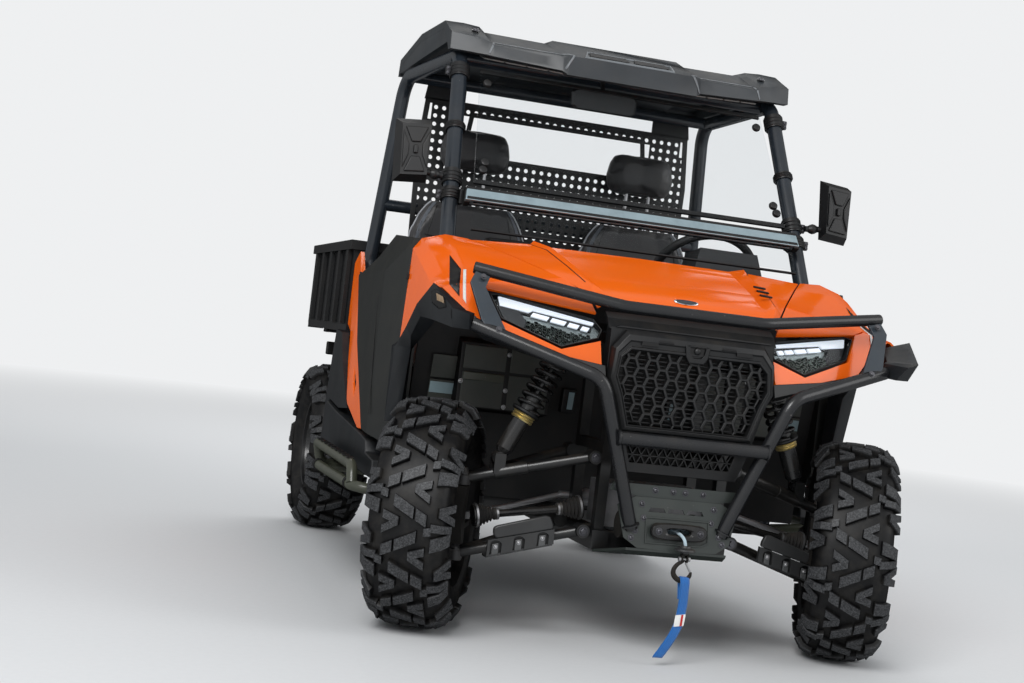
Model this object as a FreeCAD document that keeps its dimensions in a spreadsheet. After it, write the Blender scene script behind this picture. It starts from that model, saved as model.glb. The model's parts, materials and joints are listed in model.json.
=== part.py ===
# Side by side utility vehicle, two seats, tipping cargo bed, steel-tube cab frame.
# Millimetres. +Z up, the vehicle faces -Y, its left hand side is +X.
# The origin is on the ground, midway between the bull bar and the tailgate.
import FreeCAD, Part
import math
import os

Vector = FreeCAD.Vector

doc = FreeCAD.newDocument("SideBySide")
sheet = doc.addObject("Spreadsheet::Sheet", "Dimensions")

# alias, value, what it is
DIMENSIONS = [
    ("wheelbase", 1980, "front axle to rear axle"),
    ("front_axle_y", -1090, "front axle line"),
    ("axle_height", 330, "wheel centres above the ground"),
    ("tyre_radius", 330, "out to the tips of the tread lugs"),
    ("tread_depth", 17, "height of the tread lugs"),
    ("tread_pitches", 14, "lugs on one side of a tyre"),
    ("front_tyre_width", 229, "front tyre, sidewall to sidewall"),
    ("rear_tyre_width", 229, "rear tyre, sidewall to sidewall"),
    ("bead_radius", 178, "14 inch rim, bead seat"),
    ("rim_wall", 5, "thickness of the rim barrel"),
    ("kingpin_x", 560, "steering axis from the middle"),
    ("front_wheel_offset", 95, "steering axis to the front wheel's middle"),
    ("rear_wheel_x", 627, "rear wheel's middle from the middle"),
    ("steer_rest_degrees", -23, "front wheels turned to the vehicle's right"),
    ("steering_arm", 110, "kingpin to the rod's eye"),
    ("front_end_y", -1426, "front of the bull bar's cross tube"),
    ("rear_end_y", 1463, "back of the closed tailgate"),
    ("bar_tube", 19, "radius of the bull bar's lower tubes"),
    ("top_bar_tube", 17, "radius of the bull bar's upper tube"),
    ("cage_tube", 25, "radius of the cab frame's tubes"),
    ("side_bar_tube", 17, "radius of the rock guards' tubes"),
    ("arm_tube", 15, "radius of the suspension arms' tubes"),
    ("rail_width", 50, "chassis rails, width"),
    ("rail_height", 55, "chassis rails, height"),
    ("rail_x", 180, "chassis rail's middle from the middle"),
    ("rail_bottom", 285, "underside of the chassis rails"),
    ("roof_wall", 26, "roof, double skinned"),
    ("shell_wall", 6, "moulded plastic panels"),
    ("bed_front_y", 452, "cargo bed, outside of the front wall"),
    ("bed_half_width", 688, "cargo bed, outside of the walls"),
    ("bed_rail", 18, "cargo bed, how far the top rail stands out"),
    ("bed_floor_z", 800, "cargo bed, underside of the floor"),
    ("bed_top_z", 1150, "cargo bed, top rail"),
    ("bed_wall", 22, "cargo bed, double skinned walls"),
    ("bed_hinge_y", 1165, "cargo bed, tipping axis"),
    ("bed_hinge_z", 762, "cargo bed, tipping axis"),
    ("tailgate_thick", 34, "tailgate"),
    ("hood_hinge_y", -792, "hood, rear hinge axis"),
    ("hood_hinge_z", 1128, "hood, rear hinge axis"),
    ("seat_x", 325, "middle of each seat"),
    ("seat_width", 480, "seat cushion"),
    ("wheel_rim_radius", 178, "steering wheel, middle of the rim"),
    ("grip_radius", 14, "steering wheel, half the rim's thickness"),
    ("steering_wheel_x", 335, "steering wheel, left hand drive"),
    ("steering_wheel_y", -495, "steering wheel, middle"),
    ("steering_wheel_z", 1128, "steering wheel, middle"),
    ("steering_ratio", 8, "turn of the steering wheel for each degree of the front wheels"),
    ("column_degrees", 38, "column above the horizontal"),
    ("pane_thick", 6, "windshield panes"),
    ("receiver_bore", 50.8, "hitch receiver, square bore"),
    ("receiver_wall", 6, "hitch receiver, wall"),
    ("receiver_z", 382, "hitch receiver, middle"),
    ("mesh_radius", 17.5, "grille mesh, hexagon's corner radius"),
    ("mesh_rib", 5, "grille mesh, width of its ribs"),
    ("winch_bolt_x", 61, "fairlead bolt from the middle"),
    ("winch_z", 370, "fairlead and winch, middle"),
    ("engine_length", 560, "engine block along the vehicle"),
    ("engine_width", 300, "engine block across"),
    ("engine_height", 330, "engine block"),
]

for row, (alias, value, note) in enumerate(DIMENSIONS, start=1):
    sheet.set("A%d" % row, note)
    sheet.set("B%d" % row, str(value))
    sheet.setAlias("B%d" % row, alias)
doc.recompute()


def dim(alias):
    """One driving dimension, read from the sheet."""
    return float(sheet.get(alias))


def cell(alias):
    """The sheet's name for a dimension, for an object's own expression."""
    return "Dimensions." + alias


# Shape helpers


def box(x0, x1, y0, y1, z0, z1):
    return Part.makeBox(x1 - x0, y1 - y0, z1 - z0, Vector(x0, y0, z0))


def rod(start, end, radius):
    start, end = Vector(*start), Vector(*end)
    return Part.makeCylinder(radius, (end - start).Length, start, end - start)


def tube(points, radius, bend=None):
    """A round bar along straight runs, joined by arcs of one bend radius."""
    corners = [Vector(*p) for p in points]
    bend = bend or 2.6 * radius
    edges = []
    here = corners[0]
    for before, corner, after in zip(corners, corners[1:], corners[2:]):
        to_before = (before - corner).normalize()
        to_after = (after - corner).normalize()
        turn = math.pi - to_before.getAngle(to_after)
        back = bend * math.tan(turn / 2)
        first = corner + to_before * back
        last = corner + to_after * back
        bisector = (to_before + to_after).normalize()
        middle = corner + bisector * (math.hypot(bend, back) - bend)
        edges.append(Part.LineSegment(here, first).toShape())
        edges.append(Part.Arc(first, middle, last).toShape())
        here = last
    edges.append(Part.LineSegment(here, corners[-1]).toShape())
    path = Part.Wire(edges)
    circle = Part.makeCircle(radius, corners[0], corners[1] - corners[0])
    return path.makePipeShell([Part.Wire([circle])], True, False)


def polygon(points):
    corners = [Vector(*p) for p in points]
    return Part.makePolygon(corners + corners[:1])


def prism(points, along):
    """A flat outline, pushed along a vector."""
    return Part.Face(polygon(points)).extrude(Vector(*along))


def flattened(points):
    """Moves an outline's points onto the plane that fits them best."""
    corners = [Vector(*p) for p in points]
    normal = Vector(0, 0, 0)
    middle = Vector(0, 0, 0)
    for here, after in zip(corners, corners[1:] + corners[:1]):
        normal += here.cross(after)
        middle += here / len(corners)
    normal.normalize()
    return [tuple(p - normal * (p - middle).dot(normal)) for p in corners]


def side_plate(outline, x0, x1):
    """An outline of (y, z) points between two x planes."""
    return prism([(x0, y, z) for y, z in outline], (x1 - x0, 0, 0))


def cross_plate(outline, y0, y1):
    """An outline of (x, z) points between two y planes."""
    return prism([(x, y0, z) for x, z in outline], (0, y1 - y0, 0))


def floor_plate(outline, z0, z1):
    """An outline of (x, y) points between two z planes."""
    return prism([(x, y, z0) for x, y in outline], (0, 0, z1 - z0))


def ruled(sections):
    """A closed solid with straight rules between outlines of equal count."""
    return Part.makeLoft([polygon(flattened(s)) for s in sections], True, True)


def other_side(shape):
    return shape.mirror(Vector(0, 0, 0), Vector(1, 0, 0))


def both(shape):
    return [shape, other_side(shape)]


def join(shapes):
    first, rest = shapes[0], shapes[1:]
    fused = first.multiFuse(rest) if rest else first
    refined = fused.removeSplitter()
    return refined if refined.isValid() else fused


def cut(shape, tools):
    return shape.cut(tools[0].multiFuse(tools[1:]) if len(tools) > 1 else tools[0])


def turned(shape, centre, axis, degrees):
    shape = shape.copy()
    shape.rotate(Vector(*centre), Vector(*axis), degrees)
    return shape


def inset(points, wall):
    """An open (x, z) line moved to its right hand side by the wall, mitred."""
    flat = [Vector(x, 0, z) for x, z in points]
    runs = [(b - a).normalize() for a, b in zip(flat, flat[1:])]
    normals = [Vector(run.z, 0, -run.x) for run in runs]
    moved = [flat[0] + normals[0] * wall]
    for corner, before, after in zip(flat[1:], normals, normals[1:]):
        bisector = (before + after).normalize()
        moved.append(corner + bisector * (wall / bisector.dot(after)))
    moved.append(flat[-1] + normals[-1] * wall)
    return [(p.x, p.z) for p in moved]


def skin(sections, wall):
    """A moulded skin: ruled faces between open sections, as thick as wall.

    Each section is a y and a line of (x, z) points that runs outwards,
    so that its inner side is on the right hand.
    """
    outlines = []
    for y, line in sections:
        inner = inset(line, wall)
        outlines.append([(x, y, z) for x, z in line + inner[::-1]])
    return ruled(outlines)


NODES = []


def node(name, shape):
    """A sub-part whose shape is worked out above."""
    if isinstance(shape, (list, tuple)):
        shape = Part.makeCompound(list(shape))
    feature = doc.addObject("Part::Feature", name)
    feature.Label = name
    feature.Shape = shape
    NODES.append(feature)
    return feature


def keep(feature, name):
    """A sub-part that is a parametric object of the document."""
    feature.Label = name
    NODES.append(feature)
    return feature


# Places that several parts share

front_y = dim("front_axle_y")
rear_y = front_y + dim("wheelbase")
axle_z = dim("axle_height")
kingpin_x = dim("kingpin_x")
steer_rest = dim("steer_rest_degrees")
rail_x = dim("rail_x")
rail_half = dim("rail_width") / 2
rail_z0 = dim("rail_bottom")
rail_z1 = rail_z0 + dim("rail_height")
ball_joint_top = (kingpin_x, front_y, axle_z + 110)
ball_joint_low = (kingpin_x, front_y, axle_z - 106)
FRONT_DAMPER_LOW = (470, -1112, 508)
FRONT_DAMPER_TOP = (300, -1130, 880)
REAR_DAMPER_LOW = (470, 890, 490)
REAR_DAMPER_TOP = (300, 890, 696)


def steered(shape, side):
    """Turns a front corner's shape about its kingpin to the rest angle."""
    return turned(shape, (side * kingpin_x, front_y, 0), (0, 0, 1), steer_rest)


def nose(x, z, proud=0.0):
    """A point on the raked front of the body, x to either side."""
    y = -1758 + 0.227 * abs(x) + 0.48 * z
    slope = Vector(0.227 * (1 if x >= 0 else -1), -1, 0.48).normalize()
    return tuple(Vector(x, y, z) + slope * proud)


def nose_plate(outline, proud, depth):
    """A plate on the left half of the raked front; outline of (x, z)."""
    slope = Vector(0.227, -1, 0.48).normalize()
    return prism([nose(x, z, proud) for x, z in outline], tuple(slope * -depth))


# Chassis


def chassis():
    """Two long rails with cross members, and the floor's outer rails."""
    parts = []
    inner = rail_x - rail_half + 1
    outer = rail_x + rail_half - 1
    for side in (-1, 1):
        x0, x1 = sorted((side * (rail_x - rail_half), side * (rail_x + rail_half)))
        parts.append(box(x0, x1, -1235, 1200, rail_z0, rail_z1))
        x0, x1 = sorted((side * outer, side * 604))
        for y in (-680, -240, 280):
            parts.append(box(x0, x1, y, y + 40, rail_z0 + 15, rail_z1))
        x0, x1 = sorted((side * 556, side * 604))
        parts.append(box(x0, x1, -680, 320, rail_z0 + 15, rail_z1))
    for y in (-1215, -700, -200, 300, 1100):
        parts.append(box(-inner, inner, y, y + 40, rail_z0 + 5, rail_z1 - 5))
    return join(parts)


node("chassis_frame", chassis())


def clevis(x, y, z, half_gap, top):
    """Two cheeks that hold a damper's upper eye."""
    cheeks = []
    for y0, y1 in ((y - half_gap - 8, y - half_gap - 1), (y + half_gap + 1, y + half_gap + 8)):
        cheeks.append(box(x - 22, x + 22, y0, y1, z - 18, top))
    return cheeks


def front_subframe():
    """The welded tower that carries the front arms and the dampers' heads."""
    parts = []
    for side in (-1, 1):
        x0, x1 = sorted((side * 165, side * 195))
        for y in (-1215, -990):
            parts.append(box(x0, x1, y, y + 30, rail_z1, 900))
        parts.append(box(x0, x1, -1190, -970, 560, 590))
        parts.append(box(x0, x1, -1190, -970, 870, 900))
        parts += clevis(side * FRONT_DAMPER_TOP[0], FRONT_DAMPER_TOP[1], FRONT_DAMPER_TOP[2], 18, 910)
    for y in (-1215, -990):
        parts.append(box(-166, 166, y, y + 30, 870, 900))
    parts.append(box(-325, 325, -1156, -1104, 905, 925))
    parts.append(box(-190, 190, -1150, -1110, 895, 910))
    return join(parts)


def rear_subframe():
    """The welded frame under the bed, with the bed hinge's lugs."""
    parts = []
    for side in (-1, 1):
        x0, x1 = sorted((side * 165, side * 195))
        for y in (590, 1120):
            parts.append(box(x0, x1, y, y + 30, rail_z1, 735))
        parts.append(box(x0, x1, 420, 1190, 705, 735))
        parts.append(box(x0, x1, 600, 1140, 500, 525))
        lug_x0, lug_x1 = sorted((side * 168, side * 192))
        parts.append(box(lug_x0, lug_x1, 1140, 1190, 734, 778))
        parts += clevis(side * REAR_DAMPER_TOP[0], REAR_DAMPER_TOP[1], REAR_DAMPER_TOP[2], 18, 722)
    parts.append(box(-600, 600, 430, 460, 705, 735))
    parts.append(box(-166, 166, 1120, 1150, 705, 735))
    parts.append(box(-325, 325, 864, 916, 721, 745))
    receiver_foot = dim("receiver_z") - dim("receiver_bore") / 2 - dim("receiver_wall")
    parts.append(box(-190, 190, 1150, 1190, rail_z1, receiver_foot))
    pin = rod((-260, dim("bed_hinge_y"), dim("bed_hinge_z")), (260, dim("bed_hinge_y"), dim("bed_hinge_z")), 9)
    return cut(join(parts), [pin])


node("front_subframe", front_subframe())
node("rear_subframe", rear_subframe())


def hitch_receiver():
    """A two inch receiver tube with its pin holes, as a pocketed pad."""
    body = doc.addObject("PartDesign::Body", "hitch_receiver")
    planes = {f.Role: f for f in body.Origin.OriginFeatures}
    outer = body.newObject("Sketcher::SketchObject", "receiver_profile")
    outer.AttachmentSupport = [(planes["XZ_Plane"], "")]
    outer.MapMode = "FlatFace"
    half_out = dim("receiver_bore") / 2 + dim("receiver_wall")
    half_in = dim("receiver_bore") / 2
    for half in (half_out, half_in):
        corners = [(-half, -half), (half, -half), (half, half), (-half, half)]
        for (x0, z0), (x1, z1) in zip(corners, corners[1:] + corners[:1]):
            outer.addGeometry(Part.LineSegment(Vector(x0, z0, 0), Vector(x1, z1, 0)))
    pad = body.newObject("PartDesign::Pad", "receiver_tube")
    pad.Profile = outer
    pad.Length = 190
    holes = body.newObject("Sketcher::SketchObject", "pin_holes")
    holes.AttachmentSupport = [(planes["YZ_Plane"], "")]
    holes.MapMode = "FlatFace"
    holes.addGeometry(Part.Circle(Vector(-55, 0, 0), Vector(0, 0, 1), 8))
    pocket = body.newObject("PartDesign::Pocket", "pin_hole")
    pocket.Profile = holes
    pocket.Midplane = True
    pocket.Length = 100
    doc.recompute()
    return body


receiver = hitch_receiver()
receiver.Placement = FreeCAD.Placement(Vector(0, 1330, dim("receiver_z")), FreeCAD.Rotation())
keep(receiver, "hitch_receiver")

# Cab frame

CAGE_FOOT = (585, -655, 320)
CAGE_KNEE = (612, -770, 1010)
CAGE_TOP_FRONT = (558, -392, 1758)
CAGE_TOP_REAR = (596, 312, 1764)
CAGE_HIP = (640, 372, 1080)
CAGE_TAIL = (578, 290, 320)


def roll_cage():
    """Two side hoops that stand on the floor's outer rails, and their cross tubes."""
    radius = dim("cage_tube")
    hoops = both(tube([CAGE_FOOT, CAGE_KNEE, CAGE_TOP_FRONT, CAGE_TOP_REAR, CAGE_HIP, CAGE_TAIL], radius, 90))
    crosses = []
    for x, y, z in (CAGE_TOP_FRONT, CAGE_TOP_REAR):
        towards = 60 if y < 0 else -60
        crosses.append(rod((-x, y + towards, z), (x, y + towards, z), radius - 3))
    crosses.append(rod((-618, 352, 1290), (618, 352, 1290), radius - 3))
    crosses.append(rod((-640, 372, 1060), (640, 372, 1060), radius - 3))
    below_rails = box(-700, 700, -800, 500, 200, rail_z1)
    return cut(join(hoops + crosses), [below_rails])


node("roll_cage", roll_cage())


ROOF_LINES = [
    # x, front edge y, brow's low edge, brow's top, z over the pillars, z at the crown, z at the tail
    (0, -538, 1724, 1789, 1872, 1896, 1850),
    (226, -534, 1725, 1789, 1872, 1896, 1850),
    (244, -520, 1738, 1786, 1858, 1880, 1838),
    (466, -474, 1755, 1792, 1860, 1882, 1838),
    (486, -466, 1758, 1804, 1876, 1895, 1850),
    (540, -452, 1762, 1814, 1880, 1896, 1850),
    (604, -432, 1766, 1822, 1878, 1890, 1846),
]


def roof():
    """A moulded roof: raised blocks, channels between them and a deep brow."""
    wall = dim("roof_wall")
    over_pillars_y, crown_y, tail_y = -300, 76, 430
    sections = []
    lines = [(-row[0],) + row[1:] for row in ROOF_LINES[:0:-1]] + ROOF_LINES
    for x, front, low, top, pillars, crown, tail in lines:
        outline = [
            (front, low), (front + 8, top), (over_pillars_y, pillars), (crown_y, crown), (tail_y, tail),
            (tail_y + 12, tail - 62), (tail_y - 12, tail - 62), (tail_y - 24, tail - wall),
            (crown_y, crown - wall), (over_pillars_y, pillars - wall), (front + 62, top - wall), (front + 34, low),
        ]
        sections.append([(x, y, z) for y, z in outline])
    x, front, low, top, pillars, crown, tail = ROOF_LINES[-1]
    skirt = side_plate([(front + 6, low), (front + 60, 1796), (crown_y, 1796), (tail_y, 1792), (tail_y, tail - 4),
                        (crown_y, crown - 4), (over_pillars_y, pillars - 4), (front + 12, top - 4)], x - 18, x - 0.5)
    return join([ruled(sections)] + both(skirt))


node("roof", roof())

# Windshield

PANE_FOOT_Y = -776
PANE_FOOT_Z = 1166
PANE_TOP_Y = -430
PANE_TOP_Z = 1722


def windshield_point(x, height):
    """A point of the windshield's plane at a height."""
    share = (height - PANE_FOOT_Z) / (PANE_TOP_Z - PANE_FOOT_Z)
    return (x, PANE_FOOT_Y + share * (PANE_TOP_Y - PANE_FOOT_Y), height)


def windshield_plate(outline, thick, back=0.0):
    across = Vector(0, PANE_TOP_Y - PANE_FOOT_Y, PANE_TOP_Z - PANE_FOOT_Z).normalize()
    normal = Vector(0, -across.z, across.y)
    points = [tuple(Vector(*windshield_point(x, z)) - normal * back) for x, z in outline]
    return prism(points, tuple(normal * thick))


def windshield_panes():
    lower = [(-548, 1176), (548, 1176), (536, 1254), (-536, 1254)]
    upper = [(-534, 1318), (534, 1318), (498, 1712), (-498, 1712)]
    thick = dim("pane_thick")
    return [windshield_plate(lower, thick), windshield_plate(upper, thick)]


node("windshield_panes", windshield_panes())


def windshield_bar():
    """The aluminium bar that holds the lower pane's top edge."""
    outline = [(-566, 1252), (566, 1252), (560, 1294), (-560, 1294)]
    bar = windshield_plate(outline, 26, 10)
    slot = windshield_plate([(-549, 1170), (549, 1170), (537, 1258), (-537, 1258)], dim("pane_thick") + 1, 0.5)
    return cut(bar, [slot])


node("windshield_bar", windshield_bar())


def rear_screen():
    """A flat screen behind the seats, open round its edge, with a window at the top."""
    sheet = cross_plate([(-520, 1000), (520, 1000), (535, 1500), (520, 1700), (-520, 1700), (-535, 1500)], 268, 274)
    window = cross_plate([(-350, 1512), (350, 1512), (332, 1652), (-332, 1652)], 260, 280)
    return cut(sheet, [window])


node("rear_screen", rear_screen())

# Seats and cab


def seat_bottom(x):
    half = dim("seat_width") / 2
    outline = [(-250, 700), (-235, 795), (-150, 815), (120, 790), (215, 800), (215, 720)]
    return side_plate(outline, x - half, x + half)


def seat_back(x):
    half = dim("seat_width") / 2 - 4
    shoulder = [
        [(x - half, 130, 812), (x + half, 130, 812), (x + half, 222, 812), (x - half, 222, 812)],
        [(x - half, 150, 1230), (x + half, 150, 1230), (x + half, 240, 1230), (x - half, 240, 1230)],
        [(x - half + 70, 160, 1330), (x + half - 70, 160, 1330), (x + half - 70, 242, 1330), (x - half + 70, 242, 1330)],
    ]
    return ruled(shoulder)


def headrest(x):
    return ruled([
        [(x - 120, 182, 1440), (x + 120, 182, 1440), (x + 120, 250, 1440), (x - 120, 250, 1440)],
        [(x - 140, 172, 1500), (x + 140, 172, 1500), (x + 140, 256, 1500), (x - 140, 256, 1500)],
        [(x - 110, 185, 1600), (x + 110, 185, 1600), (x + 110, 250, 1600), (x - 110, 250, 1600)],
    ])


seat_x = dim("seat_x")
node("seat_bottoms", [seat_bottom(-seat_x), seat_bottom(seat_x)])
node("seat_backs", [seat_back(-seat_x), seat_back(seat_x), headrest(-seat_x), headrest(seat_x)])


def floor_tub():
    """Footwell floor, seat base and the wall behind the seats."""
    floor = box(-550, 550, -690, 250, 340, 348)
    seat_base = cut(box(-545, 545, -225, 225, 347, 700), [box(-537, 537, -217, 217, 340, 692)])
    back = box(-545, 545, 249, 257, 340, 1000)
    return join([floor, seat_base, back])


node("floor_tub", floor_tub())


def firewall():
    """The slanted wall between the wheel arches and the cab, with two boxes."""
    wall = side_plate([(-698, 349), (-790, 880), (-784, 880), (-692, 349)], -672, 672)
    boxes = side_plate([(-748, 616), (-828, 628), (-828, 826), (-788, 838), (-780, 838), (-742, 616)], 250, 545)
    return join([wall] + both(boxes))


node("firewall", firewall())


def dashboard():
    outline = [(-770, 1000), (-770, 1108), (-735, 1138), (-640, 1145), (-585, 1105), (-575, 1000), (-640, 900),
               (-745, 900)]
    body = side_plate(outline, -548, 548)
    cluster = ruled([
        [(215, -720, 1140), (455, -720, 1140), (455, -590, 1120), (215, -590, 1120)],
        [(235, -705, 1215), (435, -705, 1215), (445, -600, 1195), (225, -600, 1195)],
    ])
    y, z = dim("hood_hinge_y"), dim("hood_hinge_z")
    pin = join([rod((176, y, z), (264, y, z), 4), box(246, 264, y - 6, -740, z - 6, z + 6)])
    return join([body, cluster] + both(pin))


# Outer panels


SEAM = [(-780, 560, 1139), (-900, 490, 1110), (-1040, 408, 1069), (-1140, 350, 1040), (-1225, 300, 1004),
        (-1262, 278, 962)]


def along(table, y):
    """The x and z of a line of (y, x, z) points, at a y."""
    rows = sorted(table)
    for (y0, x0, z0), (y1, x1, z1) in zip(rows, rows[1:]):
        if y0 <= y <= y1:
            share = (y - y0) / (y1 - y0)
            return x0 + share * (x1 - x0), z0 + share * (z1 - z0)


FENDER_LINES = [
    # y, (x, z) of the crest, of the shoulder and of the side's top, z of the lower edge
    (-787, (628, 1141), (698, 1120), (722, 1086), 798),
    (-868, (624, 1119), (692, 1092), (720, 1056), 836),
    (-905, (622, 1106), (689, 1076), (719, 1042), 854),
    (-1040, (618, 1038), (678, 1014), (716, 990), 926),
    (-1140, (612, 996), (664, 984), (712, 975), 961),
]


def front_fender():
    """The painted fender: its top, its shoulder and its side above the flare."""
    sections = []
    for y, crest, shoulder, side, edge_z in FENDER_LINES:
        seam_x, seam_z = along(SEAM, y)
        sections.append((y, [(seam_x + 3, seam_z), crest, shoulder, side, (730, edge_z)]))
    corner = prism([(304, -1222, 1003), (353, -1139, 1039), (610, -1139, 996)], (0, 0, -6))
    brow = prism(flattened([(300, -1225, 1004), (612, -1142, 997), (573, -1168, 984), (277, -1255, 948)]), (0, 7, -5))
    hinge = door_hinge(1000)
    return join([skin(sections, dim("shell_wall")), corner, brow, hinge])


def door_hinge(z):
    """The fixed leaf and pin of a door hinge."""
    leaf = box(714, 731, -795, DOOR_HINGE[1] + 6, z - 7, z + 7)
    return leaf.fuse(rod((DOOR_HINGE[0], DOOR_HINGE[1], z - 34), (DOOR_HINGE[0], DOOR_HINGE[1], z + 34), 5))


def nose_trim():
    """The painted band round the lower side of a lamp."""
    outline = [(263, 806), (263, 871), (372, 836), (541, 897), (577, 980), (612, 991), (704, 974),
               (676, 950), (656, 906), (607, 900), (568, 859), (430, 827)]
    return nose_plate(outline, 6, 14)


DOOR_HINGE = (724, -778)
node("front_fenders", both(front_fender()) + both(nose_trim()))

FLARE_STATIONS = [
    # outer edge, arch edge, arch edge's back, outer edge's back
    ((660, -1350, 902), (652, -1306, 862), (626, -1256, 866), (630, -1262, 908)),
    ((704, -1328, 914), (696, -1296, 863), (648, -1240, 868), (650, -1244, 914)),
    ((738, -1205, 979), (722, -1158, 878), (672, -1120, 878), (682, -1150, 955)),
    ((746, -1040, 921), (722, -1018, 880), (676, -990, 878), (700, -1040, 918)),
    ((746, -905, 848), (718, -918, 826), (690, -880, 822), (700, -905, 845)),
    ((757, -868, 788), (712, -876, 784), (694, -812, 784), (752, -792, 788)),
    ((753, -812, 560), (712, -826, 566), (694, -796, 566), (748, -788, 560)),
]


def front_flare():
    """The dark moulded flare over a front wheel, from the bar's end to the sill."""
    horn = tube([BAR_FOOT, BAR_KNEE, BAR_HORN], dim("bar_tube") + 2, 70)
    return join([cut(ruled([list(station) for station in FLARE_STATIONS]), [horn]), door_hinge(612)])


HOOD_SECTIONS = [
    # y, z at the middle, x and z of the field's edge, and of the spine
    (-800, 1146, 300, 1143, 352, 1156),
    (-886, 1121, 288, 1119, 322, 1139),
    (-1060, 1067, 272, 1066, 306, 1090),
    (-1222, 1014, 246, 1013, 282, 1029),
    (-1256, 980, 232, 979, 262, 981),
]
SPINE_STEP = 11
HOOD_HINGE_X = (180, 240)


def hood():
    """The painted hood: a sunk middle field between two raised spines, each with a step outside it."""
    sections = []
    for y, middle, field_x, field_z, spine_x, spine_z in HOOD_SECTIONS:
        seam_x, seam_z = along(SEAM, y)
        edge_x = seam_x - 3
        foot_x = spine_x + min(SPINE_STEP, 0.4 * (edge_x - spine_x))
        foot_z = spine_z - (foot_x - spine_x)
        half = [(0, middle), (field_x, field_z), (spine_x, spine_z), (foot_x, foot_z), (edge_x, seam_z)]
        sections.append((y, [(-x, z) for x, z in half[:0:-1]] + half))
    y, z = dim("hood_hinge_y"), dim("hood_hinge_z")
    x0, x1 = HOOD_HINGE_X
    knuckle = join([rod((x0, y, z), (x1, y, z), 8), box(x0, x1, y - 8, y, z, z + 16)])
    knuckle = cut(knuckle, [rod((x0 - 1, y, z), (x1 + 1, y, z), 4.5)])
    return join([skin(sections, dim("shell_wall"))] + both(knuckle))


node("hood", hood())


SURROUND = [(-197, 634), (197, 634), (226, 728), (250, 775), (244, 864), (207, 912), (-207, 912), (-244, 864),
            (-250, 775), (-226, 728)]
MESH_OPENING = [(-178, 654), (178, 654), (204, 738), (224, 784), (218, 842), (192, 870), (-192, 870), (-218, 842),
                (-224, 784), (-204, 738)]


def front_fascia():
    """The dark nose: a centre behind the grille and a strip below each lamp."""
    half = [(176, 520), (205, 600), (248, 760), (248, 905), (248, 918)]
    centre = cross_plate(half + [(-x, z) for x, z in reversed(half)], -1318, -1276)
    mesh_hole = cross_plate(MESH_OPENING, -1400, -1200)
    low_hole = cross_plate([(-150, 548), (150, 548), (164, 592), (-164, 592)], -1400, -1200)
    centre = cut(centre, [mesh_hole, low_hole])
    cap = side_plate([(-1318, 912), (-1292, 942), (-1262, 960), (-1262, 948), (-1288, 932), (-1304, 912)], -254, 254)
    strip = nose_plate([(253, 766), (428, 810), (584, 846), (628, 884), (638, 902), (607, 898), (568, 857), (430, 825),
                        (253, 803)], 12, 30)
    return join([centre, cap] + both(strip))


node("front_fascia", front_fascia())


def headlamp():
    """A closed lamp unit whose lens lies in the raked front."""
    outline = [(568, 968), (536, 902), (372, 842), (268, 878), (256, 903), (280, 933), (536, 973)]
    return nose_plate(outline, 1, 70)


def hexagon(x, z, radius):
    return [(x + radius * math.cos(math.radians(a)), z + radius * math.sin(math.radians(a)))
            for a in range(0, 360, 60)]


def grille():
    """The surround with its sensor notch, the hexagonal mesh and the slats."""
    mesh_y, mesh_depth = -1346, 7
    radius, rib = dim("mesh_radius"), dim("mesh_rib")
    surround = cut(cross_plate(SURROUND, -1352, -1319), [cross_plate(MESH_OPENING, -1353, -1300)])
    field = cross_plate(MESH_OPENING, mesh_y, mesh_y + mesh_depth)
    step_x = 1.5 * radius
    step_z = math.sqrt(3) * radius
    holes = []
    for column in range(-10, 11):
        for row in range(-6, 7):
            x = column * step_x
            z = 762 + row * step_z + (step_z / 2 if column % 2 else 0)
            if abs(x) < 222 - radius * 0.4 and 656 + radius * 0.5 < z < 868 - radius * 0.5:
                if abs(x) > 56 or z < 838:
                    holes.append(cross_plate(hexagon(x, z, radius - rib / 2), mesh_y - 2, mesh_y + mesh_depth + 2))
    mesh = field.cut(Part.makeCompound(holes))
    slats = []
    for z in range(660, 866, 17):
        slat = box(-222, 222, -1334, -1322, z, z + 7)
        slats.append(slat.common(cross_plate(MESH_OPENING, -1340, -1319)))
    notch = cross_plate([(-46, 880), (-24, 838), (24, 838), (46, 880)], -1350, -1320)
    sensor = rod((0, -1356, 862), (0, -1340, 862), 11)
    return join([surround, mesh, notch, sensor] + slats)


node("grille", grille())

# Bull bar and winch

BAR_FOOT = (135, -1350, 366)
BAR_KNEE = (283, -1405, 772)
BAR_HORN = (631, -1271, 879)
TOP_BAR_BEND = (214, -1312, 977)
TOP_BAR_END = (627, -1205, 1035)


def bull_bar():
    radius = dim("bar_tube")
    legs = both(tube([BAR_FOOT, BAR_KNEE, BAR_HORN], radius, 70))
    cross_y = dim("front_end_y") + radius
    cross = rod((-224, cross_y, 618), (224, cross_y, 618), radius)
    mirrored = [(-TOP_BAR_END[0], TOP_BAR_END[1], TOP_BAR_END[2]), (-TOP_BAR_BEND[0], TOP_BAR_BEND[1], TOP_BAR_BEND[2])]
    upper = tube(mirrored + [TOP_BAR_BEND, TOP_BAR_END], dim("top_bar_tube"), 120)
    corners = [(642, 994), (624, 1030), (577, 1036), (600, 984), (540, 862), (590, 862), (612, 893)]
    plate = prism([(x, -1205 + 0.54 * (z - 1035) - 8, z) for x, z in corners], (0, 6, -3))
    return join(legs + [cross, upper] + both(plate))


node("front_bumper", bull_bar())


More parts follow.
